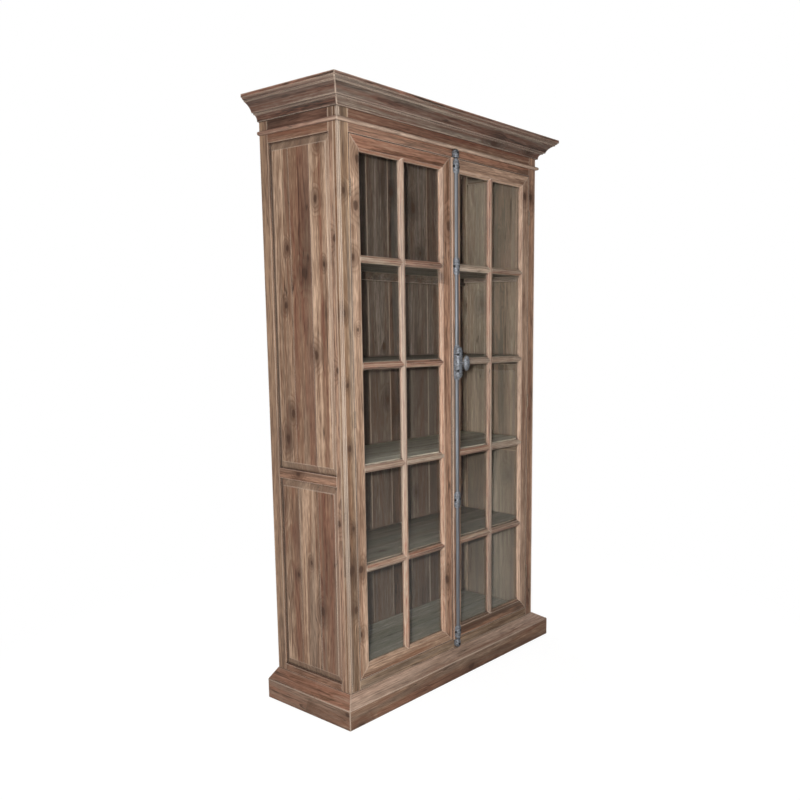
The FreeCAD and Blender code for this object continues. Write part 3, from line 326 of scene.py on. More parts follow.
# Screw heads: depth of the head and of its slot, and half the slot's width, by radius; turns
HEAD_DEPTH = 0.7
SLOT_DEPTH = 0.34
SLOT_HALF_WIDTH = 0.16
FIRST_TURN, NEXT_TURN = 0.6, 1.9

# Meshes: points closer than this are one, and faces that turn by less than this are flat
MERGE_DISTANCE = 0.00002
FLAT_ANGLE = math.radians(2.0)
SHARP_ANGLE = math.radians(35.0)
SMOOTH_ANGLE = math.radians(40.0)
TURNED_ANGLE = math.radians(30.0)
QUARTER_TURN = math.pi / 2

# Studio: the floor fades to white between these distances from the bookcase
FLOOR_FADE = (0.9, 2.0)
FLOOR_GLOW = (1.24, 1.0)
FLOOR_SHARE = (0.75, 1.0)
WORLD_LIGHT = 0.022
LAMP_AIM = (0.0, 0.0, 1.2)
# Lamps: place and width in metres, power in watts
LAMPS = (
    ("camera_lamp", (-2.693, -2.386, 1.565), 0.04, 129.0),
    ("front_lamp", (1.6, -4.6, 3.0), 2.6, 1.0),
    ("top_lamp", (-2.4, -1.2, 4.6), 2.6, 12.0),
    ("crown_lamp", (0.2, 1.2, 5.6), 2.6, 38.0),
    ("back_lamp", (1.6, 5.0, 2.6), 3.0, 95.0),
    ("right_lamp", (4.6, 0.9, 2.4), 2.6, 62.0),
)
# The camera of the photograph: place in metres, turns in radians, lens in millimetres
CAMERA_PLACE = (-2.592, -2.435, 1.480)
CAMERA_YAW, CAMERA_PITCH, CAMERA_ROLL = 0.9200, -0.1486, 0.0048
CAMERA_LENS, CAMERA_SENSOR = 37.67, 36.0
CAMERA_SHIFT = (-0.133, 0.064)


# Materials


def add(tree, kind, inputs=None, **settings):
    """Adds one node with its settings, and links or sets what feeds it."""
    made = tree.nodes.new(kind)
    for name, value in settings.items():
        setattr(made, name, value)
    for key, value in (inputs or {}).items():
        if isinstance(value, bpy.types.NodeSocket):
            tree.links.new(value, made.inputs[key])
        else:
            made.inputs[key].default_value = value
    return made


def new_material(name):
    material = bpy.data.materials.new(name)
    material.use_nodes = True
    material.node_tree.nodes.clear()
    return material, material.node_tree


def finish_node(node, material):
    """Gives a node of the part its finish."""
    slots = NODES[node].data.materials
    if not slots:
        slots.append(material)
    for i in range(len(slots)):
        slots[i] = material


def object_place(tree):
    return add(tree, "ShaderNodeTexCoord").outputs["Object"]


def worked(tree, operation, *values):
    """One step of arithmetic."""
    return add(tree, MATH, dict(enumerate(values)), operation=operation).outputs[0]


def vector_worked(tree, operation, *values):
    """One step of vector arithmetic that gives a vector."""
    return add(tree, VECTOR_MATH, dict(enumerate(values)), operation=operation).outputs[0]


def scaled(tree, vector, factors):
    return vector_worked(tree, "MULTIPLY", vector, factors)


def length(tree, vector):
    return add(tree, VECTOR_MATH, {0: vector}, operation="LENGTH").outputs["Value"]


def ranged(tree, value, low, high, to_low=0.0, to_high=1.0, smooth=False):
    """A value taken from one range to another and held inside it."""
    inputs = {"Value": value, "From Min": low, "From Max": high}
    inputs.update({"To Min": to_low, "To Max": to_high})
    kind = "SMOOTHSTEP" if smooth else "LINEAR"
    return add(tree, "ShaderNodeMapRange", inputs, interpolation_type=kind).outputs[0]


def mixed(tree, share, first, second):
    """Two colours mixed by a share."""
    inputs = {0: share, 6: first, 7: second}
    return add(tree, "ShaderNodeMix", inputs, data_type="RGBA").outputs[2]


def noise(tree, vector, scale, detail=2.0, roughness=0.5):
    inputs = {"Vector": vector, "Scale": scale, "Detail": detail, "Roughness": roughness}
    return add(tree, "ShaderNodeTexNoise", inputs).outputs[0]


def edge_share(tree, radius, turned, most):
    """How near a point is to an outward edge, from the turn of a rounded normal."""
    face = add(tree, "ShaderNodeNewGeometry").outputs["Normal"]
    rounded = add(tree, "ShaderNodeBevel", {"Radius": radius}, samples=4).outputs[0]
    facing = add(tree, VECTOR_MATH, {0: face, 1: rounded}, operation="DOT_PRODUCT")
    return ranged(tree, facing.outputs["Value"], BARELY_TURNED, turned, 0.0, most)


def hollow_share(tree, distance, light, most):
    """How deep a point lies in a quirk or corner."""
    sky = add(tree, "ShaderNodeAmbientOcclusion", {"Distance": distance}, samples=4)
    return ranged(tree, sky.outputs["AO"], light, CORNER_LIGHT, 0.0, most)


def bumped(tree, strength, distance, height):
    """A normal tilted by a relief, whose distance is in metres."""
    inputs = {"Strength": strength, "Distance": distance, "Height": height}
    return add(tree, "ShaderNodeBump", inputs).outputs[0]


def surfaced(tree, look):
    """Ends a material with a surface of one look."""
    surface = add(tree, PRINCIPLED, look)
    add(tree, MATERIAL_OUTPUT, {"Surface": surface.outputs[0]})


def board_chance(tree, place, boards, first, seed):
    """Three random numbers for each board, as a colour."""
    counted = vector_worked(tree, "DIVIDE", vector_worked(tree, "SUBTRACT", place, first), boards)
    own = tuple(seed * factor for factor in SEED_BY_AXIS)
    numbered = vector_worked(tree, "ADD", vector_worked(tree, "FLOOR", counted), own)
    chance = add(tree, "ShaderNodeTexWhiteNoise", {"Vector": numbered}, noise_dimensions="3D")
    return chance.outputs["Color"]


def figure(tree, grain, part):
    """One part of the wood's figure, drawn out along the grain."""
    cycles, detail, roughness = FIGURE[part]
    return noise(tree, scaled(tree, grain, cycles), 1.0, detail, roughness)


def knot_distance(tree, grain, lie, knots, own_knots):
    """How far a point is from the nearest knot, in radii of that knot."""
    patch = scaled(tree, grain, KNOT_PATCHES)
    cell = add(tree, "ShaderNodeTexVoronoi", {"Vector": patch, "Scale": 1.0, "Randomness": 0.9})
    off = vector_worked(tree, "SUBTRACT", patch, cell.outputs["Position"])
    picked = add(tree, SEPARATE_COLOR, {0: cell.outputs["Color"]}).outputs
    is_knot = worked(tree, "GREATER_THAN", picked[0], 1.0 - knots)
    radius = ranged(tree, picked[1], 0.0, 1.0, *KNOT_RADII)
    ratio = worked(tree, "DIVIDE", length(tree, scaled(tree, off, KNOT_METRES)), radius)
    ratio = worked(tree, "MULTIPLY_ADD", is_knot, -AWAY, worked(tree, "ADD", ratio, AWAY))
    for across, along, radius in own_knots:
        off = vector_worked(tree, "SUBTRACT", lie, (across, 0.0, along))
        flat = scaled(tree, off, (1.0 / radius, 0.0, KNOT_LENGTHENED / radius))
        ratio = worked(tree, "MINIMUM", ratio, length(tree, flat))
    return ratio


def growth_rings(tree, grain, halo):
    """Growth rings 6 to 15 mm apart on the face, as the contours of a slow swell."""
    swell = worked(tree, "MULTIPLY", figure(tree, grain, "swell"), SWELL_RINGS)
    turn = worked(tree, "FRACT", worked(tree, "MULTIPLY_ADD", halo, KNOT_RINGS, swell))
    late = ranged(tree, turn, *LATE_WOOD, smooth=True)
    return worked(tree, "MULTIPLY", late, ranged(tree, turn, *RING_END))


def pine_ramp(tree, hue, deep, red, common, pale):
    """The wood's colours by hue, from its dark streaks to its sap wood."""
    ramp = add(tree, "ShaderNodeValToRGB", {0: hue})
    stops = ramp.color_ramp.elements
    stops[0].position, stops[0].color = 0.0, deep
    stops[1].position, stops[1].color = 1.0, pale
    for position, colour in ((RED_STOP, red), (COMMON_STOP, common)):
        stops.new(position).color = colour
    return ramp.outputs[0]


def waxed_pine(
    name,
    kind,
    order,
    seed,
    knots=0.35,
    boards=ONE_BOARD,
    first=CORNER,
    wear_and_highlight=0.9,
    slope=None,
    paler=(),
    own_knots=(),
):
    """Reclaimed pine, planed by hand and dry waxed.

    The eye gets long streaks from pale sap wood to red heart, growth rings that flow round
    dark knots, boards of unlike colour, grey weathering, painted shade in joints, pale edges of
    wax and painted highlight.

    order names the axes across the board, through it and along its grain. knots is the share
    of patches that hold a knot, and own_knots are those seen in the wood. boards and first are
    the size of the boards and the corner of the first. wear is the most wax and painted highlight
    on the edges.
    Nearer the middle of the bookcase than slope, a raised panel is greyer. paler lists where
    the wood changes in tone, and where it is painted paler for light that falls on it.
    """
    colours = bpy.context.scene.bookcase_colours
    knot, grime_and_painted_shade, pale_wax_and_highlight = (tuple(c) for c in (colours.knot, colours.grime_and_painted_shade, colours.edge_wax_and_highlight))
    deep, red, common, pale, grey = (linear(code, 1.0) for code in PINES[kind])
    material, tree = new_material(name)
    place = object_place(tree)
    chance = board_chance(tree, place, boards, first, seed)
    chances = add(tree, SEPARATE_COLOR, {0: chance}).outputs

    # Board coordinates: across, through, along the grain
    split = add(tree, "ShaderNodeSeparateXYZ", {0: place}).outputs
    axes = [split["xyz".index(letter)] for letter in order]
    lie = add(tree, "ShaderNodeCombineXYZ", dict(enumerate(axes))).outputs[0]
    grain = vector_worked(tree, "ADD", lie, scaled(tree, chance, BOARD_SPREAD))

    ratio = knot_distance(tree, grain, lie, knots, own_knots)
    rim = noise(tree, grain, *KNOT_RAGGED)
    ragged = worked(tree, "MULTIPLY_ADD", rim, KNOT_RAGGEDNESS, ratio)
    heart = ranged(tree, ragged, *HEART, smooth=True)
    halo = ranged(tree, ratio, *HALO, smooth=True)
    ring = growth_rings(tree, grain, halo)

    # Bands 50 mm wide, streaks 15 mm and fibres 5 mm, all long; stains in blots
    parts = ("band", "streak", "fibre", "thread", "stain")
    band, streak, fibre, thread, stain = (figure(tree, grain, part) for part in parts)
    hue = worked(tree, "MULTIPLY_ADD", chances[0], *BOARD_HUE)
    shares = (BAND_HUE, STREAK_HUE, RING_HUE, FIBRE_HUE, THREAD_HUE)
    for part, share in zip((band, streak, ring, fibre, thread), shares):
        hue = worked(tree, "MULTIPLY_ADD", part, share, hue)
    colour = pine_ramp(tree, ranged(tree, hue, *HUES), deep, red, common, pale)

    # Weathering and stains, then the light and shade of the fibres, then the knots
    weather = ranged(tree, figure(tree, grain, "weather"), *WEATHERED)
    greyed = worked(tree, "MULTIPLY", weather, ranged(tree, chances[2], *BOARD_WEATHER))
    colour = mixed(tree, greyed, colour, grey)
    colour = mixed(tree, ranged(tree, stain, *DUSK, smooth=True), colour, deep)
    shade = ranged(tree, worked(tree, "ADD", fibre, thread), *FIBRE_LIGHT)
    light = worked(tree, "MULTIPLY", shade, ranged(tree, chances[1], *BOARD_LIGHT))
    colour = scaled(tree, colour, light)
    colour = mixed(tree, worked(tree, "MULTIPLY", halo, HALO_SHARE), colour, deep)
    colour = mixed(tree, worked(tree, "MULTIPLY", heart, HEART_SHARE), colour, knot)

    for axis, start, gain in paler:
        beyond = worked(tree, "GREATER_THAN", split["XYZ".index(axis)], start)
        colour = scaled(tree, colour, worked(tree, "MULTIPLY_ADD", beyond, gain, 1.0))

    if slope is not None:
        across = worked(tree, "ABSOLUTE", split[0])
        worn = worked(tree, "LESS_THAN", across, slope)
        colour = mixed(tree, worked(tree, "MULTIPLY", worn, FIELD_SHARE), colour, grey)

    # Short drying cracks along the grain
    ridge = figure(tree, grain, "ridge")
    near = worked(tree, "ABSOLUTE", worked(tree, "SUBTRACT", ridge, 0.5))
    line = ranged(tree, near, *CRACK_WIDTH)
    crack = worked(tree, "MULTIPLY", line, ranged(tree, stain, *CRACKED))
    colour = mixed(tree, worked(tree, "MULTIPLY", crack, CRACK_SHARE), colour, grime_and_painted_shade)

    # Pale wax and painted highlight on the edges, painted shade in the corners
    patchy = ranged(tree, streak, *WAX_AND_HIGHLIGHT_PATCHES)
    # Painted highlight along with the wax on the outward edges
    waxed_and_highlit = worked(tree, "MULTIPLY", edge_share(tree, *WOOD_WAX_AND_HIGHLIGHT_EDGE, wear_and_highlight), patchy)
    colour = mixed(tree, waxed_and_highlit, colour, pale_wax_and_highlight)
    # Painted shade: darker where ambient occlusion finds a corner, quirk or joint
    colour = mixed(tree, hollow_share(tree, *WOOD_PAINTED_SHADE), colour, grime_and_painted_shade)

    rough = ranged(tree, fibre, *WOOD_ROUGHNESS)
    relief = worked(tree, "MULTIPLY_ADD", ring, RING_RELIEF, fibre)
    relief = worked(tree, "MULTIPLY_ADD", crack, CRACK_RELIEF, relief)
    bump = bumped(tree, *WOOD_RELIEF, relief)
    surfaced(tree, {"Base Color": colour, "Roughness": rough, "Normal": bump})
    return material


def old_iron(name, grain=(1.0, 1.0, 1.0), wear_and_highlight=1.0, holes=()):
    """Cast iron, waxed bare: blue grey, pitted 2 to 4 mm apart and rubbed bright on its edges.

    Round the holes of its screws it is painted nearly black, as painted shade of the holes.
    """
    colours = bpy.context.scene.bookcase_colours
    bare, pit, worn, painted_hole_shade = (
        tuple(c) for c in (colours.iron, colours.iron_pit, colours.iron_worn, colours.painted_hole_shade)
    )
    material, tree = new_material(name)
    place = scaled(tree, object_place(tree), grain)
    cloud = noise(tree, place, *IRON_CLOUD)
    pits = noise(tree, place, *IRON_PITS)
    deep = ranged(tree, pits, *PITTED, 0.0, wear_and_highlight, smooth=True)
    colour = mixed(tree, deep, bare, pit)
    rubbed = ranged(tree, cloud, *RUBBED)
    bright = worked(tree, "MAXIMUM", edge_share(tree, *IRON_EDGE, 1.0), rubbed)
    bright = worked(tree, "MULTIPLY", bright, BRIGHT_SHARE * wear_and_highlight)
    colour = mixed(tree, bright, colour, worn)
    colour = mixed(tree, hollow_share(tree, *IRON_GRIME), colour, pit)
    nearest = AWAY
    for hole in holes:
        off = vector_worked(tree, "SUBTRACT", place, hole)
        nearest = worked(tree, "MINIMUM", nearest, length(tree, off))
    # Painted shade of the screw holes: nearly black round each screw
    if holes:
        colour = mixed(tree, ranged(tree, nearest, *HOLE_SHADE, smooth=True), colour, painted_hole_shade)
    rough = ranged(tree, cloud, *IRON_ROUGHNESS)
    bump = bumped(tree, *IRON_RELIEF, worked(tree, "SUBTRACT", cloud, deep))
    surfaced(tree, {"Base Color": colour, "Metallic": 0.4, "Roughness": rough, "Normal": bump})
    return material


def drawn_glass(name):
    """Old drawn window glass: clear, faintly warm, with slow waves that bend the reflections."""
    tint = tuple(bpy.context.scene.bookcase_colours.glass)
    material, tree = new_material(name)
    wave = noise(tree, scaled(tree, object_place(tree), GLASS_WAVES), 1.0, 1.0)
    look = {"Base Color": tint, "Transmission Weight": 1.0, "IOR": 1.5, "Roughness": 0.0}
    look.update({"Specular IOR Level": 0.12, "Normal": bumped(tree, *GLASS_RELIEF, wave)})
    glass = add(tree, PRINCIPLED, look)
    lamp_ray = add(tree, LIGHT_PATH).outputs["Is Shadow Ray"]
    clear = add(tree, "ShaderNodeBsdfTransparent", {"Color": tint})
    both = add(tree, MIX_SHADER, {0: lamp_ray, 1: glass.outputs[0], 2: clear.outputs[0]})
    add(tree, MATERIAL_OUTPUT, {"Surface": both.outputs[0]})
    return material


def matt(name, first, second, share, grain, relief, metallic, rough_range):
    """A dull finish: two colours in specks, with a roughness and a relief that follow them."""
    material, tree = new_material(name)
    speck = noise(tree, object_place(tree), grain, 4.0)
    colour = mixed(tree, ranged(tree, speck, *SPECKED, 0.0, share), first, second)
    rough = ranged(tree, speck, 0.0, 1.0, *rough_range)
    bump = bumped(tree, 0.5, relief, speck)
    look = {"Base Color": colour, "Metallic": metallic, "Roughness": rough, "Normal": bump}
    surfaced(tree, look)
    return material


def old_putty(name):
    """Linseed putty gone hard: matt, finely cracked, stained by the wood beside it."""
    putty = tuple(bpy.context.scene.bookcase_colours.putty)
    return matt(name, putty, linear("#4C3E33", 1.0), 0.9, 140.0, 0.0006, 0.0, (0.75, 0.95))


def dull_steel(name):
    """Rolled steel gone dull and brown, with darker specks of rust."""
    hinge = tuple(bpy.context.scene.bookcase_colours.hinge)
    return matt(name, hinge, linear("#5E4838", 1.0), 0.9, 260.0, 0.0003, 0.2, (0.5, 0.75))


def screw_iron(name):
    """Blued screw heads gone nearly black, with a little brown in their slots."""
    blue, brown = linear("#101114", 1.0), linear("#2C2723", 1.0)
    return matt(name, blue, brown, 1.0, 700.0, 0.0002, 0.0, (0.5, 0.8))


# Modelling


def start_clean():
    if bpy.context.object and bpy.context.object.mode != "OBJECT":
        bpy.ops.object.mode_set(mode="OBJECT")
    bpy.ops.object.select_all(action="DESELECT")


def only(piece):
    """Leaves one piece selected and active."""
    start_clean()
    bpy.context.view_layer.objects.active = piece
    piece.select_set(True)


def copy_of_node(node, name):
    """A new piece with the merged mesh of one of the part's nodes."""
    piece = bpy.data.objects.new(name, NODES[node].data.copy())
    bpy.context.collection.objects.link(piece)
    only(piece)
    bpy.ops.object.mode_set(mode="EDIT")
    bpy.ops.mesh.select_all(action="SELECT")
    bpy.ops.mesh.remove_doubles(threshold=MERGE_DISTANCE)
    bpy.ops.mesh.dissolve_limited(angle_limit=FLAT_ANGLE)
    bpy.ops.object.mode_set(mode="OBJECT")
    return piece


def outward_edges(mesh, angle):
    """The edges where two faces meet at an outward corner sharper than an angle."""
    beside = {}
    for face in mesh.polygons:
        for key in face.edge_keys:
            beside.setdefault(key, []).append(face)
    found = []
    for edge in mesh.edges:
        faces = beside.get(edge.key, ())
        if len(faces) != 2 or faces[0].normal.angle(faces[1].normal, 0.0) < angle:
            continue
        corners = list(faces[1].vertices)
        first, last = edge.vertices
        if corners[(corners.index(first) + 1) % len(corners)] != last:
            first, last = last, first
        along = mesh.vertices[last].co - mesh.vertices[first].co
        if faces[1].normal.cross(along).dot(faces[0].normal) < 0:
            found.append(edge.index)
    return found


def round_edges(piece, width):
    """Rounds the outward edges of a piece and smooths its faces."""
    only(piece)
    weights = piece.data.attributes.new("bevel_weight_edge", "FLOAT", "EDGE")
    for index in outward_edges(piece.data, SHARP_ANGLE):
        weights.data[index].value = 1.0
    bevel = piece.modifiers.new("Rounding", "BEVEL")
    bevel.width = width
    bevel.segments = 2
    bevel.limit_method = "WEIGHT"
    bpy.ops.object.modifier_apply(modifier=bevel.name)
    bpy.ops.object.shade_smooth_by_angle(angle=SMOOTH_ANGLE)


def settle(piece):
    """Puts the piece's place into its mesh."""
    only(piece)
    bpy.ops.object.transform_apply(location=True, rotation=True, scale=True)
    return piece


def joined(pieces, name):
    """Several pieces as one, by name."""
    start_clean()
    for piece in pieces:
        piece.select_set(True)
    bpy.context.view_layer.objects.active = pieces[0]
    bpy.ops.object.join()
    whole = bpy.context.object
    whole.name = name
    whole.data.name = name
    return whole


def paint(piece, material):
    piece.data.materials.clear()
    piece.data.materials.append(material)


def ring_piece(name, place, major, minor):
    """A turned ring round an axis that runs from front to back."""
    start_clean()
    bpy.ops.mesh.primitive_torus_add(
        major_segments=32,
        minor_segments=10,
        major_radius=major,
        minor_radius=minor,
        location=place,
        rotation=(QUARTER_TURN, 0, 0),
    )
    piece = bpy.context.object
    piece.name = name
    return settle(piece)


def dome(name, place, size, segments, rings):
    """An ellipsoid of cast iron, sized across, from front to back and upwards."""
    start_clean()
    bpy.ops.mesh.primitive_uv_sphere_add(
        segments=segments, ring_count=rings, radius=1.0, location=place
    )
    piece = bpy.context.object
    piece.name = name
    piece.scale = size
    settle(piece)
    bpy.ops.object.shade_smooth()
    return piece


def boss(place, width, height, depth):
    """A low dome on a face that looks to the front."""
    return dome("boss", place, (width / 2, depth, height / 2), 20, 12)


def screw(name, place, turn):
    """A slotted countersunk screw head that looks to the front."""
    radius = bpy.context.scene.bookcase_sizes.screw_head
    start_clean()
    bpy.ops.mesh.primitive_cylinder_add(
        vertices=24, radius=radius, depth=radius * HEAD_DEPTH, location=(0, 0, 0)
    )
    piece = bpy.context.object
    piece.name = name
    bpy.ops.object.mode_set(mode="EDIT")
    slot = radius * SLOT_HALF_WIDTH
    for side in (-1, 1):
        bpy.ops.mesh.select_all(action="SELECT")
        bpy.ops.mesh.bisect(plane_co=(0, slot * side, 0), plane_no=(0, 1, 0))
    bpy.ops.object.mode_set(mode="OBJECT")
    for face in piece.data.polygons:
        face.select = face.normal.z > 0.9 and abs(face.center.y) < slot
    bpy.ops.object.mode_set(mode="EDIT")
    sunk = (0, 0, -radius * SLOT_DEPTH)
    bpy.ops.mesh.extrude_region_move(TRANSFORM_OT_translate={"value": sunk})
    bpy.ops.object.mode_set(mode="OBJECT")
    piece.matrix_world = (
        Matrix.Translation(place)
        @ Matrix.Rotation(QUARTER_TURN, 4, "X")
        @ Matrix.Rotation(turn, 4, "Z")
    )
    settle(piece)
    bpy.ops.object.shade_smooth_by_angle(angle=TURNED_ANGLE)
    return piece


def iron_screws(castings, places, name, body):
    """Screws at the places given, each with a rubbed rim on its casting; two pieces on a body."""
    rims = [ring_piece("rim", place, *SCREW_RIM) for place in places]
    turns = [FIRST_TURN + NEXT_TURN * i for i in range(len(places))]
    heads = [screw("screw", place, turn) for place, turn in zip(places, turns)]
    whole = joined([castings, *rims], castings.name)
    heads = joined(heads, name)
    paint(heads, bpy.data.materials.get("dark_screw_iron") or screw_iron("dark_screw_iron"))
    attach(heads, body)
    return whole


def finish_wood(rows):
    """Gives each node in rows its own board of pine."""
    for number, (node, kind, order, extra) in enumerate(rows):
        seed = SEED_BY_LENGTH * len(node) + SEED_BY_ROW * number + ord(node[0]) * SEED_BY_LETTER
        seed += SEEDS.get(node, 0.0)
        extra = {**extra, "own_knots": KNOTS.get(node, ())}
        finish_node(node, waxed_pine("waxed_pine_" + node, kind, order, seed, **extra))


# Steps


class BOOKCASE_OT_cornice(bpy.types.Operator):
    """Finishes the cornice, the neck moulding, the friezes and the top board"""

    bl_idname = "bookcase.cornice"
    bl_label = "Cornice"

    def execute(self, context):
        finish_wood(
            [
                # The top fillet of the cornice is painted paler, as painted light
                ("cornice_front", "cornice", "zyx", {"paler": (FILLET_PAINTED_LIGHT,)}),
                ("cornices_side", "cornice", "zxy", {"paler": (FILLET_PAINTED_LIGHT,)}),
                ("neck_moulding_front", "neck", "zyx", {"knots": 0.1, "wear_and_highlight": 1.0}),
                ("neck_mouldings_side", "neck", "zxy", {"knots": 0.1, "wear_and_highlight": 1.0}),
                ("frieze_front", "frieze", "zyx", {}),
                ("friezes_side", "side_frieze", "zxy", {}),
                ("top_board", "cornice", "yzx", TOP_BOARDS),
            ]
        )
        return {"FINISHED"}


class BOOKCASE_OT_face_frame(bpy.types.Operator):
    """Finishes the stiles and rails of the face frame"""

    bl_idname = "bookcase.face_frame"
    bl_label = "Face frame"

    def execute(self, context):
        finish_wood(
            [
                # The inner edge of this stile carries a painted highlight
                ("face_left_stile", "face", "xyz", {"knots": 0.1, "paler": (BLOCK, CORNER_BEAD_HIGHLIGHT)}),
                ("face_right_stile", "right_face", "xyz", {}),
                ("face_top_rail", "top_rail", "zyx", {}),
                ("face_bottom_rail", "face", "zyx", {}),
            ]
        )
        return {"FINISHED"}


class BOOKCASE_OT_sides(bpy.types.Operator):
    """Finishes the framed sides with their boarded panels"""

    bl_idname = "bookcase.sides"
    bl_label = "Sides"

    def execute(self, context):
        kinds = {
            "left": ("back_stile", "side_rail", "panel", ()),
            "right": ("wall", "wall", "wall", (UPPER_PANEL,)),
        }
        for side, (stile, rail, panel, upper) in kinds.items():
            panels = {**PANEL_BOARDS, "slope": PANEL_FIELD, "knots": 0.2, "paler": upper}
            finish_wood(
                [
                    (side + "_front_stile", "frame", "yxz", {"knots": 0.15, "paler": (BLOCK,)}),
                    (side + "_back_stile", stile, "yxz", {}),
                    (side + "_rails", rail, "zxy", {**RAIL_BOARDS, "knots": 0.6}),
                    (side + "_panels", panel, "yxz", panels),
                ]
            )
        return {"FINISHED"}


class BOOKCASE_OT_plinth(bpy.types.Operator):
    """Finishes the plinth boards and their cap"""

    bl_idname = "bookcase.plinth"
    bl_label = "Plinth"

    def execute(self, context):
        finish_wood(
            [
                ("plinth_board_front", "plinth", "zyx", {"knots": 0.55}),
                ("plinth_boards_side", "plinth_cap", "zxy", {"knots": 0.55}),
                ("plinth_cap_front", "plinth_cap", "zyx", {}),
                ("plinth_caps_side", "plinth_cap", "zxy", {}),
                ("plinth_back_rail", "inside", "zyx", {}),
            ]
        )
        return {"FINISHED"}


class BOOKCASE_OT_inside(bpy.types.Operator):
    """Finishes the back boards, the floor, the shelves and what carries them"""

    bl_idname = "bookcase.inside"
    bl_label = "Inside"

    def execute(self, context):
        # The last back board is painted paler, as light thrown back by the right wall
        back = {**BACK_BOARDS, "wear_and_highlight": 0.4, "paler": (LAST_BACK_BOARD_BOUNCE_LIGHT,)}
        rows = [
            ("back_boards", "inside", "xyz", back),
            ("case_floor", "floor", "yzx", FLOOR_BOARDS),
            ("shelf_cleats", "inside", "zxy", {}),
            ("door_stop", "frame", "zyx", {}),
        ]
        for number in range(1, SHELF_COUNT + 1):
            kind = "pale_shelf" if number == PALE_SHELF else "shelf"
            rows.append(("shelf_%d" % number, kind, "yzx", SHELF_BOARDS))
        finish_wood(rows)
        return {"FINISHED"}


class BOOKCASE_OT_doors(bpy.types.Operator):
    """Finishes the door frames, their glazing bars and the cover strip"""

    bl_idname = "bookcase.doors"
    bl_label = "Doors"

    def execute(self, context):
        cross = {**GLAZING_BARS, "knots": 0.15, "wear_and_highlight": 0.95}
        for side, stile in (("left", "door"), ("right", "top_rail")):
            door = side + "_door_"
            finish_wood(
                [
                    (door + "hinge_stile", stile, "xyz", {"knots": 0.15}),
                    (door + "meeting_stile", "meeting", "xyz", {}),
                    (door + "top_rail", "top_rail", "zyx", {}),
                    (door + "bottom_rail", "door", "zyx", {"knots": 0.5}),
                    (door + "upright_bar", "bar", "xyz", {"knots": 0.1, "wear_and_highlight": 0.95}),
                    (door + "cross_bars", "bar", "zyx", cross),
                ]
            )
        finish_wood([("right_door_cover_strip", "meeting", "xyz", {"knots": 0.1, "wear_and_highlight": 1.0})])
        return {"FINISHED"}


class BOOKCASE_OT_glazing(bpy.types.Operator):
    """Finishes the panes and the putty that holds them"""

    bl_idname = "bookcase.glazing"
    bl_label = "Glazing"

    def execute(self, context):
        glass = drawn_glass("drawn_glass")
        putty = old_putty("old_putty")
        for side in ("left", "right"):
            finish_node(side + "_door_panes", glass)
            finish_node(side + "_door_putty", putty)
        return {"FINISHED"}


class BOOKCASE_OT_hinges(bpy.types.Operator):
    """Finishes the hinge leaves"""

    bl_idname = "bookcase.hinges"
    bl_label = "Hinges"

    def execute(self, context):
        steel = dull_steel("dull_steel")
        for part in ("case", "left_door", "right_door"):
            finish_node(part + "_hinge_leaves", steel)
        return {"FINISHED"}


class BOOKCASE_OT_rods(bpy.types.Operator):
    """Finishes the two rods of the bolt"""

    bl_idname = "bookcase.rods"
    bl_label = "Rods"

    def execute(self, context):
        iron = old_iron("waxed_iron_rods", ROD_GRAIN, ROD_WEAR)
        finish_node("upper_rod", iron)
        finish_node("lower_rod", iron)
        return {"FINISHED"}


class BOOKCASE_OT_bolt_case(bpy.types.Operator):
    """Models the cast case of the bolt, with its collar, bosses and screws"""

    bl_idname = "bookcase.bolt_case"
    bl_label = "Bolt case"

    def execute(self, context):
        low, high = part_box("bolt_case")
        x, z = (low.x + high.x) / 2, (low.z + high.z) / 2
        case = copy_of_node("bolt_case", "bolt_case_casting")
        round_edges(case, context.scene.bookcase_sizes.iron_edge)
        parts = [case, ring_piece("collar", (x, low.y + RING_SUNK, z), *COLLAR)]
        for up in (-1, 1):
            for rise, size in CROWN_BOSSES:
                parts.append(boss((x, low.y, z + up * rise), *size))
            for side in (-1, 1):
                lug = (x + side * LUG_REACH, high.y - LUG_SEAT, z + up * LUG_RISE)
                parts.append(boss(lug, *LUG_SIZE))
        whole = joined(parts, "bolt_case_casting")
        places = [
            (x + side * CASE_SCREW_REACH, high.y - HUMP_SEAT, z + up * CASE_SCREW_RISE)
            for side in (-1, 1)
            for up in (-1, 1)
        ]
        whole = iron_screws(whole, places, "bolt_case_screws", "right_door")
        paint(whole, old_iron("waxed_cast_iron", holes=places))
        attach(whole, "right_door")
        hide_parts("bolt_case")
        return {"FINISHED"}


class BOOKCASE_OT_knob(bpy.types.Operator):
    """Models the oval knob of the bolt on its spindle"""

    bl_idname = "bookcase.knob"
    bl_label = "Knob"

    def execute(self, context):
        low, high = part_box("bolt_knob")
        x, z = (low.x + high.x) / 2, (low.z + high.z) / 2
        oval_back = low.y + OVAL_DEPTH
        stem = copy_of_node("bolt_knob", "stem")
        bpy.ops.object.mode_set(mode="EDIT")
        bpy.ops.mesh.select_all(action="SELECT")
        bpy.ops.mesh.bisect(
            plane_co=(x, oval_back + STEM_CUT, z),
            plane_no=(0, 1, 0),
            clear_inner=True,
            use_fill=True,
        )
        bpy.ops.object.mode_set(mode="OBJECT")
        bpy.ops.object.shade_smooth_by_angle(angle=TURNED_ANGLE)
        middle = (x, (low.y + oval_back) / 2, z)
        size = (OVAL_HALF_WIDTH, (oval_back - low.y) / 2, OVAL_HALF_HEIGHT)
        oval = dome("oval", middle, size, 40, 24)
        root = ring_piece("root", (x, oval_back + RING_SUNK, z), *KNOB_ROOT)
        whole = joined([stem, oval, root], "bolt_knob_turned")
        paint(whole, old_iron("waxed_iron_knob"))
        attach(whole, "knob")
        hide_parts("bolt_knob")
        return {"FINISHED"}


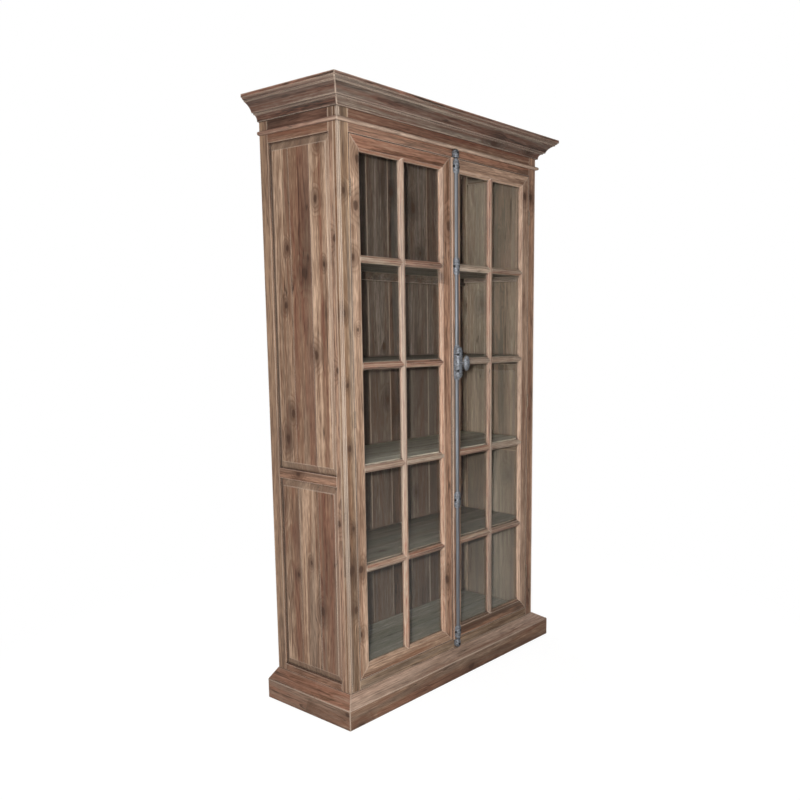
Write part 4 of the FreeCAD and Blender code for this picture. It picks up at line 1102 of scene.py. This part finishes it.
class BOOKCASE_OT_guides(bpy.types.Operator):
    """Models the guides and keepers of the rods with rounded cast edges and their screws"""

    bl_idname = "bookcase.guides"
    bl_label = "Guides and keepers"

    def execute(self, context):
        low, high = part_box("rod_guides")
        x = (low.x + high.x) / 2
        heights = (high.z - END_GUIDE_SCREW, *MIDDLE_GUIDES, low.z + END_GUIDE_SCREW)
        ears = [x - EAR_SCREW_REACH, x + EAR_SCREW_REACH]
        guide_places = [(ear, high.y - EAR_SEAT, z) for z in heights for ear in ears]
        low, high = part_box("keepers")
        heights = (high.z - KEEPER_SCREW, low.z + KEEPER_SCREW)
        keeper_places = [(x, high.y - HUMP_SEAT, z) for z in heights]
        rows = (
            ("rod_guides", guide_places, "rod_guide_screws", "right_door"),
            ("keepers", keeper_places, "keeper_screws", "case"),
        )
        for node, places, screws, body in rows:
            piece = copy_of_node(node, node + "_castings")
            round_edges(piece, context.scene.bookcase_sizes.iron_edge)
            piece = iron_screws(piece, places, screws, body)
            paint(piece, old_iron("waxed_iron_" + node, holes=places))
            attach(piece, body)
            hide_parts(node)
        return {"FINISHED"}


def white_studio_paper(name):
    """White paper that keeps the shadow at the bookcase and fades to pure white round it."""
    material, tree = new_material(name)
    seen = add(tree, LIGHT_PATH).outputs["Is Camera Ray"]
    far = length(tree, object_place(tree))
    look = {"Base Color": linear("#B9B8B6", 1.0), "Roughness": 0.9}
    paper = add(tree, PRINCIPLED, look)
    fill = ranged(tree, far, *FLOOR_FADE, *FLOOR_GLOW, smooth=True)
    glow = add(tree, "ShaderNodeEmission", {"Color": (1.0, 1.0, 1.0, 1.0), "Strength": fill})
    fade = ranged(tree, far, *FLOOR_FADE, *FLOOR_SHARE, smooth=True)
    share = worked(tree, "MULTIPLY", seen, fade)
    both = add(tree, MIX_SHADER, {0: share, 1: paper.outputs[0], 2: glow.outputs[0]})
    add(tree, MATERIAL_OUTPUT, {"Surface": both.outputs[0]})
    return material


def lay_floor(context):
    start_clean()
    size = context.scene.bookcase_sizes.floor_size
    bpy.ops.mesh.primitive_plane_add(size=size, location=(0, 0, 0))
    floor = context.object
    floor.name = "studio_floor"
    bpy.ops.object.mode_set(mode="EDIT")
    bpy.ops.mesh.subdivide(number_cuts=3)
    bpy.ops.object.mode_set(mode="OBJECT")
    floor.data.materials.append(white_studio_paper("white_studio_paper"))


def surround_with_white(context):
    """White to the camera, and a faint soft light on the bookcase."""
    world = bpy.data.worlds.new("pale_studio")
    context.scene.world = world
    world.use_nodes = True
    tree = world.node_tree
    tree.nodes.clear()
    seen = add(tree, LIGHT_PATH).outputs["Is Camera Ray"]
    white = add(tree, BACKGROUND, {"Color": (1.0, 1.0, 1.0, 1.0), "Strength": 1.0})
    soft = add(tree, BACKGROUND, {"Color": linear("#FFFDFA", 1.0), "Strength": WORLD_LIGHT})
    both = add(tree, MIX_SHADER, {0: seen, 1: soft.outputs[0], 2: white.outputs[0]})
    add(tree, "ShaderNodeOutputWorld", {"Surface": both.outputs[0]})


def hang_lamps(context):
    for name, place, width, power in LAMPS:
        data = bpy.data.lights.new(name, "AREA")
        data.shape = "SQUARE"
        data.size = width
        data.energy = power
        lamp = bpy.data.objects.new(name, data)
        context.collection.objects.link(lamp)
        lamp.location = place
        aim = Vector(LAMP_AIM) - Vector(place)
        lamp.rotation_euler = aim.to_track_quat("-Z", "Y").to_euler()


def set_camera(context):
    """The camera at the photograph's angle."""
    data = bpy.data.cameras.new("camera")
    data.lens = CAMERA_LENS
    data.sensor_width = CAMERA_SENSOR
    data.shift_x, data.shift_y = CAMERA_SHIFT
    camera = bpy.data.objects.new("camera", data)
    context.collection.objects.link(camera)
    look = Euler((QUARTER_TURN + CAMERA_PITCH, 0.0, -CAMERA_YAW)).to_matrix()
    look = look @ Matrix.Rotation(CAMERA_ROLL, 3, "Z")
    camera.matrix_world = Matrix.Translation(CAMERA_PLACE) @ look.to_4x4()
    context.scene.camera = camera
    context.scene.view_settings.view_transform = "Standard"


class BOOKCASE_OT_stage(bpy.types.Operator):
    """Makes the floor, the lamps, the pale surroundings and the camera"""

    bl_idname = "bookcase.stage"
    bl_label = "Stage"

    def execute(self, context):
        lay_floor(context)
        surround_with_white(context)
        hang_lamps(context)
        set_camera(context)
        return {"FINISHED"}


class BOOKCASE_PT_panel(bpy.types.Panel):
    """Lists the steps that dress the bookcase"""

    bl_label = "Bookcase"
    bl_idname = "BOOKCASE_PT_panel"
    bl_space_type = "VIEW_3D"
    bl_region_type = "UI"
    bl_category = "Bookcase"

    def draw(self, context):
        layout = self.layout
        for group in (context.scene.bookcase_sizes, context.scene.bookcase_colours):
            for name in group.__annotations__:
                layout.prop(group, name)
        for step in STEPS:
            layout.operator(step.bl_idname)


STEPS = (
    BOOKCASE_OT_stage,
    BOOKCASE_OT_cornice,
    BOOKCASE_OT_face_frame,
    BOOKCASE_OT_sides,
    BOOKCASE_OT_plinth,
    BOOKCASE_OT_inside,
    BOOKCASE_OT_doors,
    BOOKCASE_OT_glazing,
    BOOKCASE_OT_hinges,
    BOOKCASE_OT_rods,
    BOOKCASE_OT_bolt_case,
    BOOKCASE_OT_knob,
    BOOKCASE_OT_guides,
)
CLASSES = (BookcaseSizes, BookcaseColours, *STEPS, BOOKCASE_PT_panel)


def register():
    for made in CLASSES:
        bpy.utils.register_class(made)
    bpy.types.Scene.bookcase_sizes = PointerProperty(type=BookcaseSizes)
    bpy.types.Scene.bookcase_colours = PointerProperty(type=BookcaseColours)


def unregister():
    del bpy.types.Scene.bookcase_colours
    del bpy.types.Scene.bookcase_sizes
    for made in reversed(CLASSES):
        bpy.utils.unregister_class(made)


def main():
    register()
    bpy.ops.bookcase.stage()
    bpy.ops.bookcase.cornice()
    bpy.ops.bookcase.face_frame()
    bpy.ops.bookcase.sides()
    bpy.ops.bookcase.plinth()
    bpy.ops.bookcase.inside()
    bpy.ops.bookcase.doors()
    bpy.ops.bookcase.glazing()
    bpy.ops.bookcase.hinges()
    bpy.ops.bookcase.rods()
    bpy.ops.bookcase.bolt_case()
    bpy.ops.bookcase.knob()
    bpy.ops.bookcase.guides()


if __name__ == "__main__":
    main()
